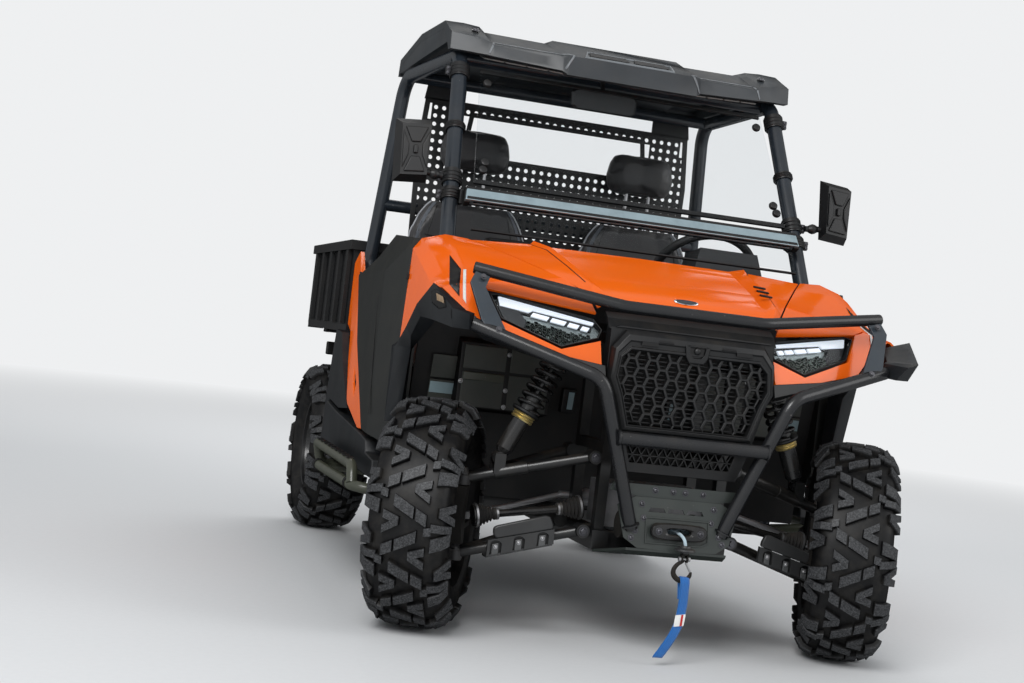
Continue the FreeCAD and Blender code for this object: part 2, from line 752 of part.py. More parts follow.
def winch_plate():
    """The slotted plate in front of the winch, its upper flange and the skid."""
    slope = 0.2
    outline = [(0, 459), (125, 459), (179, 431), (158, 343), (118, 318), (0, 316)]
    left = prism([(x, -1363 + slope * (z - 350), z) for x, z in outline], (0, 6, 0))
    plate = join(both(left))
    slots = [cross_plate([(x - 26, 418), (x + 26, 418), (x + 20, 430), (x - 20, 430)], -1380, -1320) for x in (-62, -5, 52)]
    mouth = box(-40, 40, -1380, -1300, dim("winch_z") - 12, dim("winch_z") + 12)
    flange = cross_plate([(-125, 458), (125, 458), (205, 470), (196, 492), (-196, 492), (-205, 470)], -1343, -1337)
    apron = ruled([
        [(-150, -1370, 310), (150, -1370, 310), (150, -1370, 317), (-150, -1370, 317)],
        [(-200, -1239, 280), (200, -1239, 280), (200, -1239, 287), (-200, -1239, 287)],
    ])
    legs = both(tube([BAR_FOOT, BAR_KNEE, BAR_HORN], dim("bar_tube") + 1, 70))
    return cut(join([cut(plate, slots + [mouth]), flange, apron]), legs)


node("winch_plate", winch_plate())


def winch():
    z = dim("winch_z")
    drum = rod((-70, -1290, z), (70, -1290, z), 30)
    flanges = [rod((x - 5, -1290, z), (x + 5, -1290, z), 44) for x in (-70, 70)]
    motor = rod((74, -1290, z), (150, -1290, z), 38)
    gears = rod((-150, -1290, z), (-74, -1290, z), 38)
    return join([drum, motor, gears] + flanges)


def fairlead():
    z = dim("winch_z")
    bolt_x = dim("winch_bolt_x")
    plate = join([box(-bolt_x, bolt_x, -1378, -1365, z - 22, z + 22)]
                 + [rod((x, -1378, z), (x, -1365, z), 22) for x in (-bolt_x, bolt_x)])
    mouth = join([box(-28, 28, -1380, -1355, z - 9, z + 9)]
                 + [rod((x, -1380, z), (x, -1355, z), 9) for x in (-28, 28)])
    bolts = [rod((x, -1380, z), (x, -1355, z), 5) for x in (-bolt_x, bolt_x)]
    return cut(plate, [mouth] + bolts)


node("winch", [winch(), fairlead()])


def winch_hook():
    """The rope's end: a stopper, the eye and the hook that hangs in front."""
    hang_y = -1404
    rope = rod((0, -1352, 370), (0, -1390, 370), 4)
    stopper = rod((0, -1396, 366), (0, -1384, 366), 20)
    link = rod((2, -1390, 362), (10, hang_y, 344), 6)
    eye = Part.makeTorus(14, 6, Vector(10, hang_y, 330), Vector(0, 1, 0))
    shank = rod((10, hang_y, 316), (14, hang_y, 292), 7)
    bow = tube([(14, hang_y, 294), (40, hang_y, 276), (34, hang_y, 244), (0, hang_y, 240), (-4, hang_y, 268)], 7, 14)
    return join([rope, stopper, link, eye, shank, bow])


node("winch_hook", winch_hook())


def hook_strap():
    """The short flat strap that hangs from the hook."""
    middle = [(16, 262), (24, 200), (20, 140), (-6, 70), (-32, 23)]
    outline = [(x - 14, z) for x, z in middle] + [(x + 14, z) for x, z in reversed(middle)]
    return cross_plate(outline, -1406, -1402)


node("hook_strap", cut(hook_strap(), [box(-60, 60, -1420, -1380, 228, 300)]))

# Front suspension


def arm(inner_front, inner_rear, outer, radius):
    """An A arm: two legs, a cross brace and bushing tubes."""
    legs = [rod(inner_front, outer, radius), rod(inner_rear, outer, radius)]
    brace_share = 0.55
    a = Vector(*inner_front) + (Vector(*outer) - Vector(*inner_front)) * brace_share
    b = Vector(*inner_rear) + (Vector(*outer) - Vector(*inner_rear)) * brace_share
    legs.append(rod(tuple(a), tuple(b), radius * 0.8))
    ends = []
    for x, y, z in (inner_front, inner_rear):
        ends.append(rod((x, y - 24, z), (x, y + 24, z), radius * 1.3))
    x, y, z = outer
    ends.append(rod((x, y, z - 16), (x, y, z + 16), radius * 1.25))
    return join(legs + ends)


def front_arms():
    radius = dim("arm_tube")
    upper = arm((216, -1200, 544), (216, -985, 544), ball_joint_top, radius)
    lower = arm((228, -1200, 332), (228, -985, 332), ball_joint_low, radius)
    x, y, z = FRONT_DAMPER_LOW
    cheeks = [box(x - 16, x + 16, y0, y0 + 7, z - 44, z + 14) for y0 in (y - 26, y + 19)]
    saddle = box(x - 16, x + 16, y - 26, y + 26, z - 44, z - 34)
    return [join([upper, saddle] + cheeks), lower]


left_arms = front_arms()
node("front_arms", left_arms + [other_side(s) for s in left_arms])


def arm_guard():
    """The moulded guard over the front leg of a lower arm."""
    return prism([(331, -1224, 345), (496, -1206, 276), (496, -1206, 212), (331, -1224, 275)], (0, 18, 0))


node("arm_guards", both(arm_guard()))


def coil_over(low, top, coil_radius):
    """A damper with its body, rod, eyes and a coil spring's envelope."""
    low, top = Vector(*low), Vector(*top)
    along = (top - low).normalize()
    length = (top - low).Length
    eyes = [rod(tuple(p - Vector(0, 18, 0)), tuple(p + Vector(0, 18, 0)), 17) for p in (low, top)]
    body = Part.makeCylinder(24, length * 0.5 - 34, low + along * 34, along)
    shaft = Part.makeCylinder(9, length, low, along)
    seat = Part.makeCylinder(coil_radius, 8, low + along * 62, along)
    hat = Part.makeCylinder(coil_radius, 10, top - along * 42, along)
    spring = Part.makeCylinder(coil_radius - 6, length - 42 - 70, low + along * 70, along)
    return join(eyes + [body, shaft, seat, hat, spring])


def front_damper():
    return coil_over(FRONT_DAMPER_LOW, FRONT_DAMPER_TOP, 42)


def rear_damper():
    return coil_over(REAR_DAMPER_LOW, REAR_DAMPER_TOP, 42)


node("dampers", both(front_damper()) + both(rear_damper()))


def half_shaft(inner, outer):
    shaft = rod(inner, outer, 14)
    inner_v, outer_v = Vector(*inner), Vector(*outer)
    along = (outer_v - inner_v).normalize()
    boots = [Part.makeCone(36, 20, 70, inner_v, along), Part.makeCone(20, 36, 70, outer_v - along * 75, along)]
    return join([shaft] + boots)


def half_shafts():
    front = half_shaft((190, front_y, 387), (500, front_y, 338))
    rear = half_shaft((190, rear_y, 387), (520, rear_y, 336))
    return [front, other_side(front), rear, other_side(rear)]


node("half_shafts", half_shafts())


def final_drive():
    """Front and rear gear cases between the shafts."""
    front = box(-150, 150, -1165, -1010, 345, 470)
    rear = box(-150, 150, 824, 960, 345, 480)
    return [front, rear]


def knuckle(side):
    """The steering knuckle: upright, stub, arm to the rack's rod, caliper."""
    x = kingpin_x
    upright = ruled([
        [(x - 18, front_y - 22, 252), (x + 18, front_y - 22, 252), (x + 18, front_y + 22, 252), (x - 18, front_y + 22, 252)],
        [(x - 14, front_y - 34, 330), (x + 30, front_y - 34, 330), (x + 30, front_y + 34, 330), (x - 14, front_y + 34, 330)],
        [(x - 18, front_y - 22, 418), (x + 18, front_y - 22, 418), (x + 18, front_y + 22, 418), (x - 18, front_y + 22, 418)],
    ])
    stub = rod((x, front_y, axle_z), (x + 62, front_y, axle_z), 30)
    steering_arm = box(x - 14, x + 14, front_y + 20, front_y + dim("steering_arm") + 14, 292, 306)
    shape = join([upright, stub, steering_arm])
    if side < 0:
        shape = other_side(shape)
    return steered(shape, side)


node("knuckle_left", knuckle(1))
node("knuckle_right", knuckle(-1))


def rack_housing():
    tube_out = rod((-160, -930, 400), (160, -930, 400), 26)
    bore = rod((-161, -930, 400), (161, -930, 400), 18)
    return cut(tube_out, [bore])


node("gear_cases", final_drive() + [rack_housing()])


def steering_rods():
    """The rack's bar with a tie rod to each side, as it sits at rest."""
    shift = -dim("steering_arm") * math.sin(math.radians(steer_rest))
    eye_y = front_y + dim("steering_arm") * math.cos(math.radians(steer_rest))
    eye_z = 322
    bar = rod((shift - 260, -930, 400), (shift + 260, -930, 400), 12)
    rods = []
    for side in (-1, 1):
        inner = (shift + side * 255, -930, 400)
        outer = (side * kingpin_x + shift, eye_y, eye_z)
        rods.append(rod(inner, outer, 9))
        rods.append(rod((outer[0], outer[1], eye_z - 10), (outer[0], outer[1], eye_z + 10), 15))
    return join([bar] + rods)


node("steering_rods", steering_rods())

# Rear suspension


def rear_arms():
    radius = dim("arm_tube")
    hub_x = 560
    upper = arm((216, 780, 512), (216, 1000, 512), (hub_x, rear_y, 425), radius)
    lower = arm((228, 780, 312), (228, 1000, 312), (hub_x, rear_y, 232), radius)
    return [upper, lower]


left_rear_arms = rear_arms()
node("rear_arms", left_rear_arms + [other_side(s) for s in left_rear_arms])


def rear_upright():
    upright = box(545, 590, rear_y - 32, rear_y + 32, 256, 404)
    stub = rod((585, rear_y, axle_z), (622, rear_y, axle_z), 30)
    return join([upright, stub])


node("rear_uprights", both(rear_upright()))

# Wheels


def tyre(width):
    """A tyre about the X axis, as facets, with lugs that alternate from side to side.

    Each pitch has four angles. A lug stands on one side between the first
    two of them and on the other side between the last two.
    """
    radius, bead, tread = dim("tyre_radius"), dim("bead_radius"), dim("tread_depth")
    half = width / 2
    # share of the half width, radius, whether it stands on a lug, lean of the lug
    profile = [
        (-0.70, bead + 1.2, 0, 0.0), (-1.00, bead + 78, 0, 0.0), (-0.99, radius - 52, 0, 0.9), (-0.86, radius - 6, 1, 0.9),
        (-0.10, radius, 1, 0.0), (0.10, radius, 1, 0.0), (0.86, radius - 6, 1, 0.9), (0.99, radius - 52, 0, 0.9),
        (1.00, bead + 78, 0, 0.0), (0.70, bead + 1.2, 0, 0.0),
    ]
    pitches = int(dim("tread_pitches"))
    shares = (0.0, 0.07, 0.5, 0.57)
    rings = []
    for step in range(pitches * 4):
        ring = []
        for share, reach, lug, lean in profile:
            phase = step % 4
            high = phase in ((1, 2) if share < 0 else (3, 0))
            angle = 2 * math.pi / pitches * (step // 4 + shares[phase] + 0.35 * lean)
            reach -= tread * lug * (not high)
            ring.append(Vector(share * half, reach * math.cos(angle), reach * math.sin(angle)))
        rings.append(ring)
    faces = []
    for ring, after in zip(rings, rings[1:] + rings[:1]):
        for k in range(len(profile)):
            m = (k + 1) % len(profile)
            faces.append(facet(ring[k], ring[m], after[m]))
            faces.append(facet(ring[k], after[m], after[k]))
    return Part.makeSolid(Part.makeShell(faces))


def facet(*corners):
    return Part.Face(Part.makePolygon(list(corners) + [corners[0]]))


def rim_body(name, width_alias):
    """A rim turned from one profile, with five window pockets patterned."""
    body = doc.addObject("PartDesign::Body", name)
    planes = {f.Role: f for f in body.Origin.OriginFeatures}
    half = dim(width_alias) * 0.35
    bead = dim("bead_radius") - 0.4
    wall = dim("rim_wall")
    sketch = body.newObject("Sketcher::SketchObject", name + "_profile")
    sketch.AttachmentSupport = [(planes["XZ_Plane"], "")]
    sketch.MapMode = "FlatFace"
    disc_out = half * 0.35
    disc_in = disc_out - 14
    profile = [
        (-half, bead), (-half, bead - wall), (-half + 20, bead - wall - 6), (disc_in, bead - wall - 14),
        (disc_in - 12, 62), (disc_in - 12, 22), (disc_out + 10, 22), (disc_out + 10, 48), (disc_out, 70),
        (disc_out, bead - wall - 14), (half, bead - wall), (half, bead),
    ]
    for (x0, z0), (x1, z1) in zip(profile, profile[1:] + profile[:1]):
        sketch.addGeometry(Part.LineSegment(Vector(x0, z0, 0), Vector(x1, z1, 0)))
    turn = body.newObject("PartDesign::Revolution", name + "_turned")
    turn.Profile = sketch
    turn.ReferenceAxis = (sketch, ["H_Axis"])
    turn.Angle = 360
    windows = body.newObject("Sketcher::SketchObject", name + "_window")
    windows.AttachmentSupport = [(planes["YZ_Plane"], "")]
    windows.MapMode = "FlatFace"
    outline = [(-16, 78), (16, 78), (42, 138), (20, 150), (-20, 150), (-42, 138)]
    for (x0, z0), (x1, z1) in zip(outline, outline[1:] + outline[:1]):
        windows.addGeometry(Part.LineSegment(Vector(x0, z0, 0), Vector(x1, z1, 0)))
    pocket = body.newObject("PartDesign::Pocket", name + "_pocket")
    pocket.Profile = windows
    pocket.Midplane = True
    pocket.Length = 2 * half + 20
    pattern = body.newObject("PartDesign::PolarPattern", name + "_windows")
    pattern.Originals = [pocket]
    pattern.Axis = (planes["X_Axis"], [""])
    pattern.Angle = 360
    pattern.Occurrences = 6
    body.Tip = pattern
    doc.recompute()
    return body


def wheel_place(axle, side):
    """The placement of a wheel whose outer face looks along its own +X."""
    turn = FreeCAD.Rotation(Vector(0, 0, 1), 0 if side > 0 else 180)
    if axle == "rear":
        return FreeCAD.Placement(Vector(side * dim("rear_wheel_x"), rear_y, axle_z), turn)
    steer = FreeCAD.Rotation(Vector(0, 0, 1), steer_rest)
    offset = steer.multVec(Vector(side * dim("front_wheel_offset"), 0, 0))
    centre = Vector(side * kingpin_x, front_y, axle_z) + offset
    return FreeCAD.Placement(centre, steer.multiply(turn))


for axle in ("front", "rear"):
    for side, hand in ((1, "left"), (-1, "right")):
        place = wheel_place(axle, side)
        feature = node("tyre_%s_%s" % (axle, hand), tyre(dim(axle + "_tyre_width")))
        feature.Placement = place
        rim = rim_body("rim_%s_%s" % (axle, hand), axle + "_tyre_width")
        rim.Placement = place
        keep(rim, "rim_%s_%s" % (axle, hand))

# Steering wheel


def steering_wheel():
    body = doc.addObject("PartDesign::Body", "steering_wheel")
    planes = {f.Role: f for f in body.Origin.OriginFeatures}
    ring = body.newObject("Sketcher::SketchObject", "grip_profile")
    ring.AttachmentSupport = [(planes["XZ_Plane"], "")]
    ring.MapMode = "FlatFace"
    ring.addGeometry(Part.Circle(Vector(dim("wheel_rim_radius"), 0, 0), Vector(0, 0, 1), dim("grip_radius")))
    turn = body.newObject("PartDesign::Revolution", "grip")
    turn.Profile = ring
    turn.ReferenceAxis = (ring, ["V_Axis"])
    turn.Angle = 360
    hub = body.newObject("Sketcher::SketchObject", "hub_outline")
    hub.AttachmentSupport = [(planes["XY_Plane"], "")]
    hub.MapMode = "FlatFace"
    spokes = [(-170, 22), (-60, 34), (-40, 52), (40, 52), (60, 34), (170, 22), (170, -8), (52, -24),
              (20, -60), (14, -172), (-14, -172), (-20, -60), (-52, -24), (-170, -8)]
    for (x0, z0), (x1, z1) in zip(spokes, spokes[1:] + spokes[:1]):
        hub.addGeometry(Part.LineSegment(Vector(x0, z0, 0), Vector(x1, z1, 0)))
    pad = body.newObject("PartDesign::Pad", "spokes")
    pad.Profile = hub
    pad.Midplane = True
    pad.Length = 12
    boss = body.newObject("Sketcher::SketchObject", "boss_outline")
    boss.AttachmentSupport = [(planes["XY_Plane"], "")]
    boss.MapMode = "FlatFace"
    boss.addGeometry(Part.Circle(Vector(0, 0, 0), Vector(0, 0, 1), 24))
    boss_pad = body.newObject("PartDesign::Pad", "boss")
    boss_pad.Profile = boss
    boss_pad.Length = 55
    boss_pad.Reversed = True
    doc.recompute()
    return body


wheel_tilt = FreeCAD.Rotation(Vector(1, 0, 0), -(90 - dim("column_degrees")))
wheel_turn = FreeCAD.Rotation(Vector(0, 0, 1), steer_rest * dim("steering_ratio"))
hand_wheel = steering_wheel()
wheel_centre = Vector(dim("steering_wheel_x"), dim("steering_wheel_y"), dim("steering_wheel_z"))
hand_wheel.Placement = FreeCAD.Placement(wheel_centre, wheel_tilt.multiply(wheel_turn))
keep(hand_wheel, "steering_wheel")


def steering_column():
    """The fixed column sleeve between the wheel's boss and the dash."""
    down = wheel_tilt.multVec(Vector(0, 0, -1))
    start = wheel_centre + down * 60
    return rod(tuple(start), tuple(start + down * 190), 26)


node("dashboard", join([dashboard(), steering_column()]))

# Sides


DOOR_SIDE = [(-780, 1118), (-448, 1139), (-320, 1067), (-93, 1003), (-210, 776), (-449, 505), (-755, 485),
             (-780, 530)]
DOOR_PLAN = [(680, -780), (722, -780), (752, -540), (757, -93), (695, -93), (690, -540)]
DOOR_ACROSS = [(600, 484), (757, 484), (757, 1000), (712, 1139), (600, 1139)]


def door():
    """A half door; its pins' holes and the gaps for the fixed hinge leaves."""
    slab = floor_plate(DOOR_PLAN, 470, 1150)
    shape = slab.common(side_plate(DOOR_SIDE, 600, 800)).common(cross_plate(DOOR_ACROSS, -900, 100))
    hinge_x, hinge_y = DOOR_HINGE
    tools = []
    for z in (612, 1000):
        tools.append(box(700, 760, -790, hinge_y + 24, z - 13, z + 13))
        tools.append(rod((hinge_x, hinge_y, z - 40), (hinge_x, hinge_y, z + 40), 5.5))
    return cut(shape, tools)


node("door_left", door())
node("door_right", other_side(door()))


def side_sill():
    """The moulded rocker cover between the wheels."""
    outline = [(300, 543), (91, 522), (-440, 488), (-538, 478), (-560, 440), (-690, 430), (-700, 372), (300, 372)]
    return side_plate(outline, 700, 752)


node("side_sills", both(side_sill()))


def side_bar():
    """The double tube under a door: a lower bar and a step bar above it."""
    radius = dim("side_bar_tube")
    reach = 800
    lower = tube([(609, 60, 322), (reach, 40, 332), (reach, -700, 345), (609, -665, 322)], radius, 50)
    upper = tube([(609, 150, 322), (776, 130, 330), (reach, 95, 404), (reach, -630, 404), (reach, -655, 350)], radius, 45)
    return join([lower, upper])


node("side_bars", both(side_bar()))


def quarter_panel():
    """The painted panel behind a door: a part along the door with its vent, and one that tapers to the bed."""
    fold_y, face_x, thick, taper = -70, 744, 16, 0.115
    front = [(fold_y, 1002), (-82, 996), (-200, 772), (-438, 502), (-330, 497), (-90, 560), (fold_y, 574)]
    rear = [(421, 1064), (145, 1096), (-60, 1008), (fold_y, 1002), (fold_y, 574), (110, 700), (190, 806), (421, 830)]
    vent = [(-215, 640), (-150, 690), (-150, 640), (-200, 590)]
    along_door = cut(side_plate(front, face_x - thick, face_x), [side_plate(vent, face_x - 12, face_x + 6)])
    to_bed = prism([(face_x - taper * (y - fold_y), y, z) for y, z in rear], (-thick, 0, 0))
    bracket = box(652, 684, 336, 352, 880, 904)
    return join([along_door, to_bed, bracket])


node("quarter_panels", both(quarter_panel()))


def rear_fender():
    """The dark fender in front of a rear wheel: its side and the wall that closes it to the cab."""
    outline = [(-82, 545), (112, 694), (196, 800), (326, 808), (350, 740), (372, 640), (392, 540), (404, 372),
               (310, 372), (310, 552), (91, 533)]
    wall = [(200, 796), (326, 808), (350, 740), (372, 640), (392, 540), (404, 372), (396, 372), (384, 538), (364, 637),
            (342, 736), (321, 800), (200, 788)]
    return join([side_plate(outline, 718, 742), side_plate(wall, 660, 719)])


node("fender_flares", both(front_flare()) + both(rear_fender()))


def mirror_head():
    head = ruled([
        [(672, -610, 1500), (785, -595, 1492), (780, -622, 1292), (676, -642, 1300)],
        [(682, -662, 1480), (772, -652, 1474), (766, -668, 1314), (684, -678, 1322)],
    ])
    arm_tube = rod((626, -634, 1330), (700, -640, 1336), 10)
    return join([head, arm_tube])


node("mirrors", both(mirror_head()))


# Powertrain


engine = doc.addObject("Part::Box", "engine")
engine.setExpression("Length", cell("engine_width"))
engine.setExpression("Width", cell("engine_length"))
engine.setExpression("Height", cell("engine_height"))
engine.Placement = FreeCAD.Placement(Vector(-dim("engine_width") / 2, 262, 350), FreeCAD.Rotation())
keep(engine, "engine")

muffler = doc.addObject("Part::Cylinder", "exhaust")
muffler.Radius = 75
muffler.Height = 300
muffler.Placement = FreeCAD.Placement(Vector(-150, 1040, 610), FreeCAD.Rotation(Vector(0, 1, 0), 90))
keep(muffler, "exhaust")

# Cargo bed


def cargo_bed():
    """The tipping bed: a ribbed tub under a top rail, its runners and gate pins."""
    half = dim("bed_half_width")
    y0 = dim("bed_front_y")
    y1 = dim("rear_end_y") - dim("tailgate_thick") - 6
    z0 = dim("bed_floor_z")
    z1 = dim("bed_top_z")
    wall = dim("bed_wall")
    rail = dim("bed_rail")
    parts = [box(-half, half, y0, y1, z0, z1 - 1)]
    parts.append(box(-half - rail, half + rail, y0 - rail, y1, z1 - 36, z1))
    for side in (-1, 1):
        x0, x1 = sorted((side * (half - 1), side * (half + rail - 3)))
        for y in (y0 + 60, y0 + 260, y0 + 460, y0 + 660, y0 + 860):
            parts.append(box(x0, x1, y, y + 46, z0 + 30, z1 - 35))
        parts.append(box(side * 230 - 20, side * 230 + 20, y0 + 20, y1 - 60, z0 - 36, z0 + 1))
    tub = cut(join(parts), [box(-half + wall, half - wall, y0 + wall, y1 + 1, z0 + 20, z1 + 1)])
    lugs = []
    for side in (-1, 1):
        x0, x1 = sorted((side * 604, side * 616))
        lugs.append(box(x0, x1, y1 - 40, GATE_HINGE[0] + 8, GATE_HINGE[1] - 9, GATE_HINGE[1] - 1 + 11))
        lugs.append(rod((side * 540, GATE_HINGE[0], GATE_HINGE[1]), (side * 606, GATE_HINGE[0], GATE_HINGE[1]), 5))
    return join([tub] + lugs)


GATE_HINGE = (dim("rear_end_y") - 12, 790)
node("cargo_bed", cargo_bed())


def tailgate():
    """The drop gate: a sunk panel, hinge knuckles and gaps for the bed's lugs."""
    half = dim("bed_half_width")
    y1 = dim("rear_end_y")
    y0 = y1 - dim("tailgate_thick")
    z0, z1 = dim("bed_floor_z") - 6, dim("bed_top_z")
    parts = [box(-half, half, y0, y1 - 8, z0, z1), box(-half, half, y0, y1, z1 - 60, z1)]
    for x in (-half, -250, 190, half - 60):
        parts.append(box(x, x + 60, y1 - 9, y1, z0 + 20, z1 - 59))
    gaps = []
    for side in (-1, 1):
        y, z = GATE_HINGE
        x0, x1 = sorted((side * 540, side * 598))
        parts.append(rod((x0, y, z), (x1, y, z), 9))
        gaps.append(rod((x0 - 9, y, z), (x1 + 9, y, z), 5.5))
        x0, x1 = sorted((side * 598, side * 624))
        gaps.append(box(x0, x1, y0 - 1, y1 + 1, z0 - 1, z0 + 36))
    return cut(join(parts), gaps)


node("tailgate", tailgate())


def tail_lamp():
    """A lamp on the sub-frame under the bed's rear corner."""
    return box(560, 640, 1150, 1190, 690, 745)


node("lamps", both(headlamp()) + both(tail_lamp()))

# Checks and export

doc.recompute()
os.makedirs("parts", exist_ok=True)
faulty = []
for feature in NODES:
    broken = "Invalid" in feature.State or "Error" in feature.State
    if broken or feature.Shape.isNull() or not feature.Shape.isValid():
        faulty.append(feature.Label)
assert not faulty, faulty
for feature in NODES:
    feature.Shape.exportStep(os.path.join("parts", feature.Label + ".step"))
    bounds = feature.Shape.BoundBox
    print("%-20s %d solids  x %6.0f %6.0f  y %6.0f %6.0f  z %6.0f %6.0f" % (
        feature.Label, len(feature.Shape.Solids), bounds.XMin, bounds.XMax,
        bounds.YMin, bounds.YMax, bounds.ZMin, bounds.ZMax))
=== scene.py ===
# Looks of a two-seat side by side utility vehicle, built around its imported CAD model.
import json
import math

import bmesh
import bpy
from mathutils import Matrix, Quaternion, Vector
from mathutils.bvhtree import BVHTree

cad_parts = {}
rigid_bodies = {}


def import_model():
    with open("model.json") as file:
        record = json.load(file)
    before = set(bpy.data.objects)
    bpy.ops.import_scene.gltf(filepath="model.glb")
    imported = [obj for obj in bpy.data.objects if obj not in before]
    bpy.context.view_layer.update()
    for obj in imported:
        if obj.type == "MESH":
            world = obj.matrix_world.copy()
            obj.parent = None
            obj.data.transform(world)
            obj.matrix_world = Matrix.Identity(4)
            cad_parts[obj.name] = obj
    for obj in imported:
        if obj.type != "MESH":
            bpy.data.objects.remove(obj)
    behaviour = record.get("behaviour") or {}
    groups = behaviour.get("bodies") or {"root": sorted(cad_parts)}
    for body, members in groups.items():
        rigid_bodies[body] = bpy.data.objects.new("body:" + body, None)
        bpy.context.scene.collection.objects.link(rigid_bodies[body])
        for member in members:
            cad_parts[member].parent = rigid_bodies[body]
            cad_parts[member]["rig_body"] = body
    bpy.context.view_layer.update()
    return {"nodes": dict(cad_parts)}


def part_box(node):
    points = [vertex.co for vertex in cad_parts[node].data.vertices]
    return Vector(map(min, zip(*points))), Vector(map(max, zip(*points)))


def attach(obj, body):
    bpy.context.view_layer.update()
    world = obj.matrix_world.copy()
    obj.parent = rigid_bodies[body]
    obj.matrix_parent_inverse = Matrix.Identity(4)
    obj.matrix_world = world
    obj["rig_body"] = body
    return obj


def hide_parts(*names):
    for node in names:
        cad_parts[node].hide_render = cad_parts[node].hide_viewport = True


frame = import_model()
NODES = frame["nodes"]


def linked(thing):
    """An object, put into the scene."""
    bpy.context.scene.collection.objects.link(thing)
    return thing


# Camera, as solved from the photograph

CAMERA_PLACE = (-1.673, -5.407, 0.856)
CAMERA_AIM = (0.2696, 0.9630, -0.0030)
CAMERA_ROLL = math.radians(6.79)
SENSOR_WIDTH = 36.0
FOCAL_LENGTH = 54.84


def place_camera():
    """A 55 mm lens in front of the right hand wheel, rolled as the photograph is."""
    data = bpy.data.cameras.new("camera")
    data.sensor_width = SENSOR_WIDTH
    data.lens = FOCAL_LENGTH
    data.clip_start = 0.05
    camera = bpy.data.objects.new("camera", data)
    forward = Vector(CAMERA_AIM).normalized()
    level = forward.cross(Vector((0, 0, 1))).normalized()
    upright = level.cross(forward)
    right = level * math.cos(CAMERA_ROLL) + upright * math.sin(CAMERA_ROLL)
    up = upright * math.cos(CAMERA_ROLL) - level * math.sin(CAMERA_ROLL)
    axes = Matrix((right, up, -forward)).transposed().to_4x4()
    camera.matrix_world = Matrix.Translation(CAMERA_PLACE) @ axes
    bpy.context.scene.camera = linked(camera)


place_camera()

# Shader and geometry nodes written as expressions


def math_node(operation, swapped=False):
    """An operator that adds a Math node to the tree of its left or right side."""
    def operator(socket, other):
        first, second = (other, socket) if swapped else (socket, other)
        return socket.tree.add("ShaderNodeMath", {0: first, 1: second}, operation=operation)
    return operator


class Socket:
    """An output that takes part in arithmetic."""

    def __init__(self, tree, socket):
        self.tree = tree
        self.socket = socket

    def __getitem__(self, name):
        return Socket(self.tree, self.socket.node.outputs[name])

    __add__ = math_node("ADD")
    __radd__ = math_node("ADD", swapped=True)
    __sub__ = math_node("SUBTRACT")
    __rsub__ = math_node("SUBTRACT", swapped=True)
    __mul__ = math_node("MULTIPLY")
    __truediv__ = math_node("DIVIDE")
    __pow__ = math_node("POWER")


class Tree:
    """Adds nodes to one shader or geometry tree."""

    def __init__(self, nodes):
        self.nodes = nodes

    def add(self, kind, sockets=None, **settings):
        """One node, with its settings and the values or links of its sockets."""
        node = self.nodes.nodes.new(kind)
        for key, value in settings.items():
            setattr(node, key, value)
        for key, value in (sockets or {}).items():
            if isinstance(value, Socket):
                self.nodes.links.new(value.socket, node.inputs[key])
            else:
                node.inputs[key].default_value = value
        shown = [s for s in node.outputs if s.enabled]
        return Socket(self, shown[0]) if shown else Socket(self, None)


class Finish(Tree):
    """One material, whose surface is a Principled shader."""

    def __init__(self, name):
        self.material = bpy.data.materials.new(name)
        self.material.use_nodes = True
        super().__init__(self.material.node_tree)
        self.nodes.nodes.clear()
        self.place = self.add("ShaderNodeTexCoord")["Object"]

    def noise(self, size, detail=3.0, rough=0.5, vector=None):
        """Soft noise from 0 to 1 whose lumps are about size metres across."""
        sockets = {"Vector": vector or self.place, "Scale": 1.0 / size, "Detail": detail,
                   "Roughness": rough}
        return self.add("ShaderNodeTexNoise", sockets)

    def cells(self, size, feature="F1"):
        """Distance to the middles of cells about size metres across."""
        sockets = {"Vector": self.place, "Scale": 1.0 / size}
        return self.add("ShaderNodeTexVoronoi", sockets, feature=feature)["Distance"]

    def clamp(self, value, low=0.0, high=1.0):
        """The value's part from low to high, spread over 0 to 1."""
        sockets = {0: value, 1: low, 2: high, 3: 0.0, 4: 1.0}
        return self.add("ShaderNodeMapRange", sockets, clamp=True)

    def mix(self, share, first, second):
        """A colour between two others."""
        node = self.nodes.nodes.new("ShaderNodeMix")
        node.data_type = "RGBA"
        for index, value in ((0, share), (6, first), (7, second)):
            if isinstance(value, Socket):
                self.nodes.links.new(value.socket, node.inputs[index])
            else:
                node.inputs[index].default_value = value if index == 0 else (*value[:3], 1.0)
        return Socket(self, node.outputs[2])

    def split(self, vector):
        """The three parts of a vector."""
        return self.add("ShaderNodeSeparateXYZ", {0: vector})

    def bump(self, height, strength, distance):
        """A normal that shows a height of so many metres."""
        sockets = {"Height": height, "Strength": strength, "Distance": distance}
        return self.add("ShaderNodeBump", sockets)

    def dust(self, amount):
        """More dust where a face looks up, in soft patches."""
        facing = self.split(self.add("ShaderNodeTexCoord")["Normal"])["Z"]
        upward = self.clamp(facing, 0.1, 1.0)
        patches = self.clamp(self.noise(0.09, 6.0, 0.65), 0.42, 0.75)
        return (upward * 0.75 + 0.25) * patches * amount

    def principled(self, **sockets):
        """A Principled shader; underscores stand for the spaces in its sockets' names."""
        named = {key.replace("_", " "): value for key, value in sockets.items()}
        for key in ("Base Color", "Emission Color"):
            if key in named and not isinstance(named[key], Socket):
                named[key] = (*named[key][:3], 1.0)
        return self.add("ShaderNodeBsdfPrincipled", named)

    def skin(self, amount):
        """Coat weight that thins out where the surface is seen at a low angle."""
        facing = self.add("ShaderNodeLayerWeight", {"Blend": 0.5})["Facing"]
        return (1.0 - facing) * amount

    def done(self, shader):
        """The material, with this shader as its surface."""
        self.add("ShaderNodeOutputMaterial", {"Surface": shader})
        return self.material

    def surface(self, **sockets):
        """The material, as one Principled shader."""
        return self.done(self.principled(**sockets))


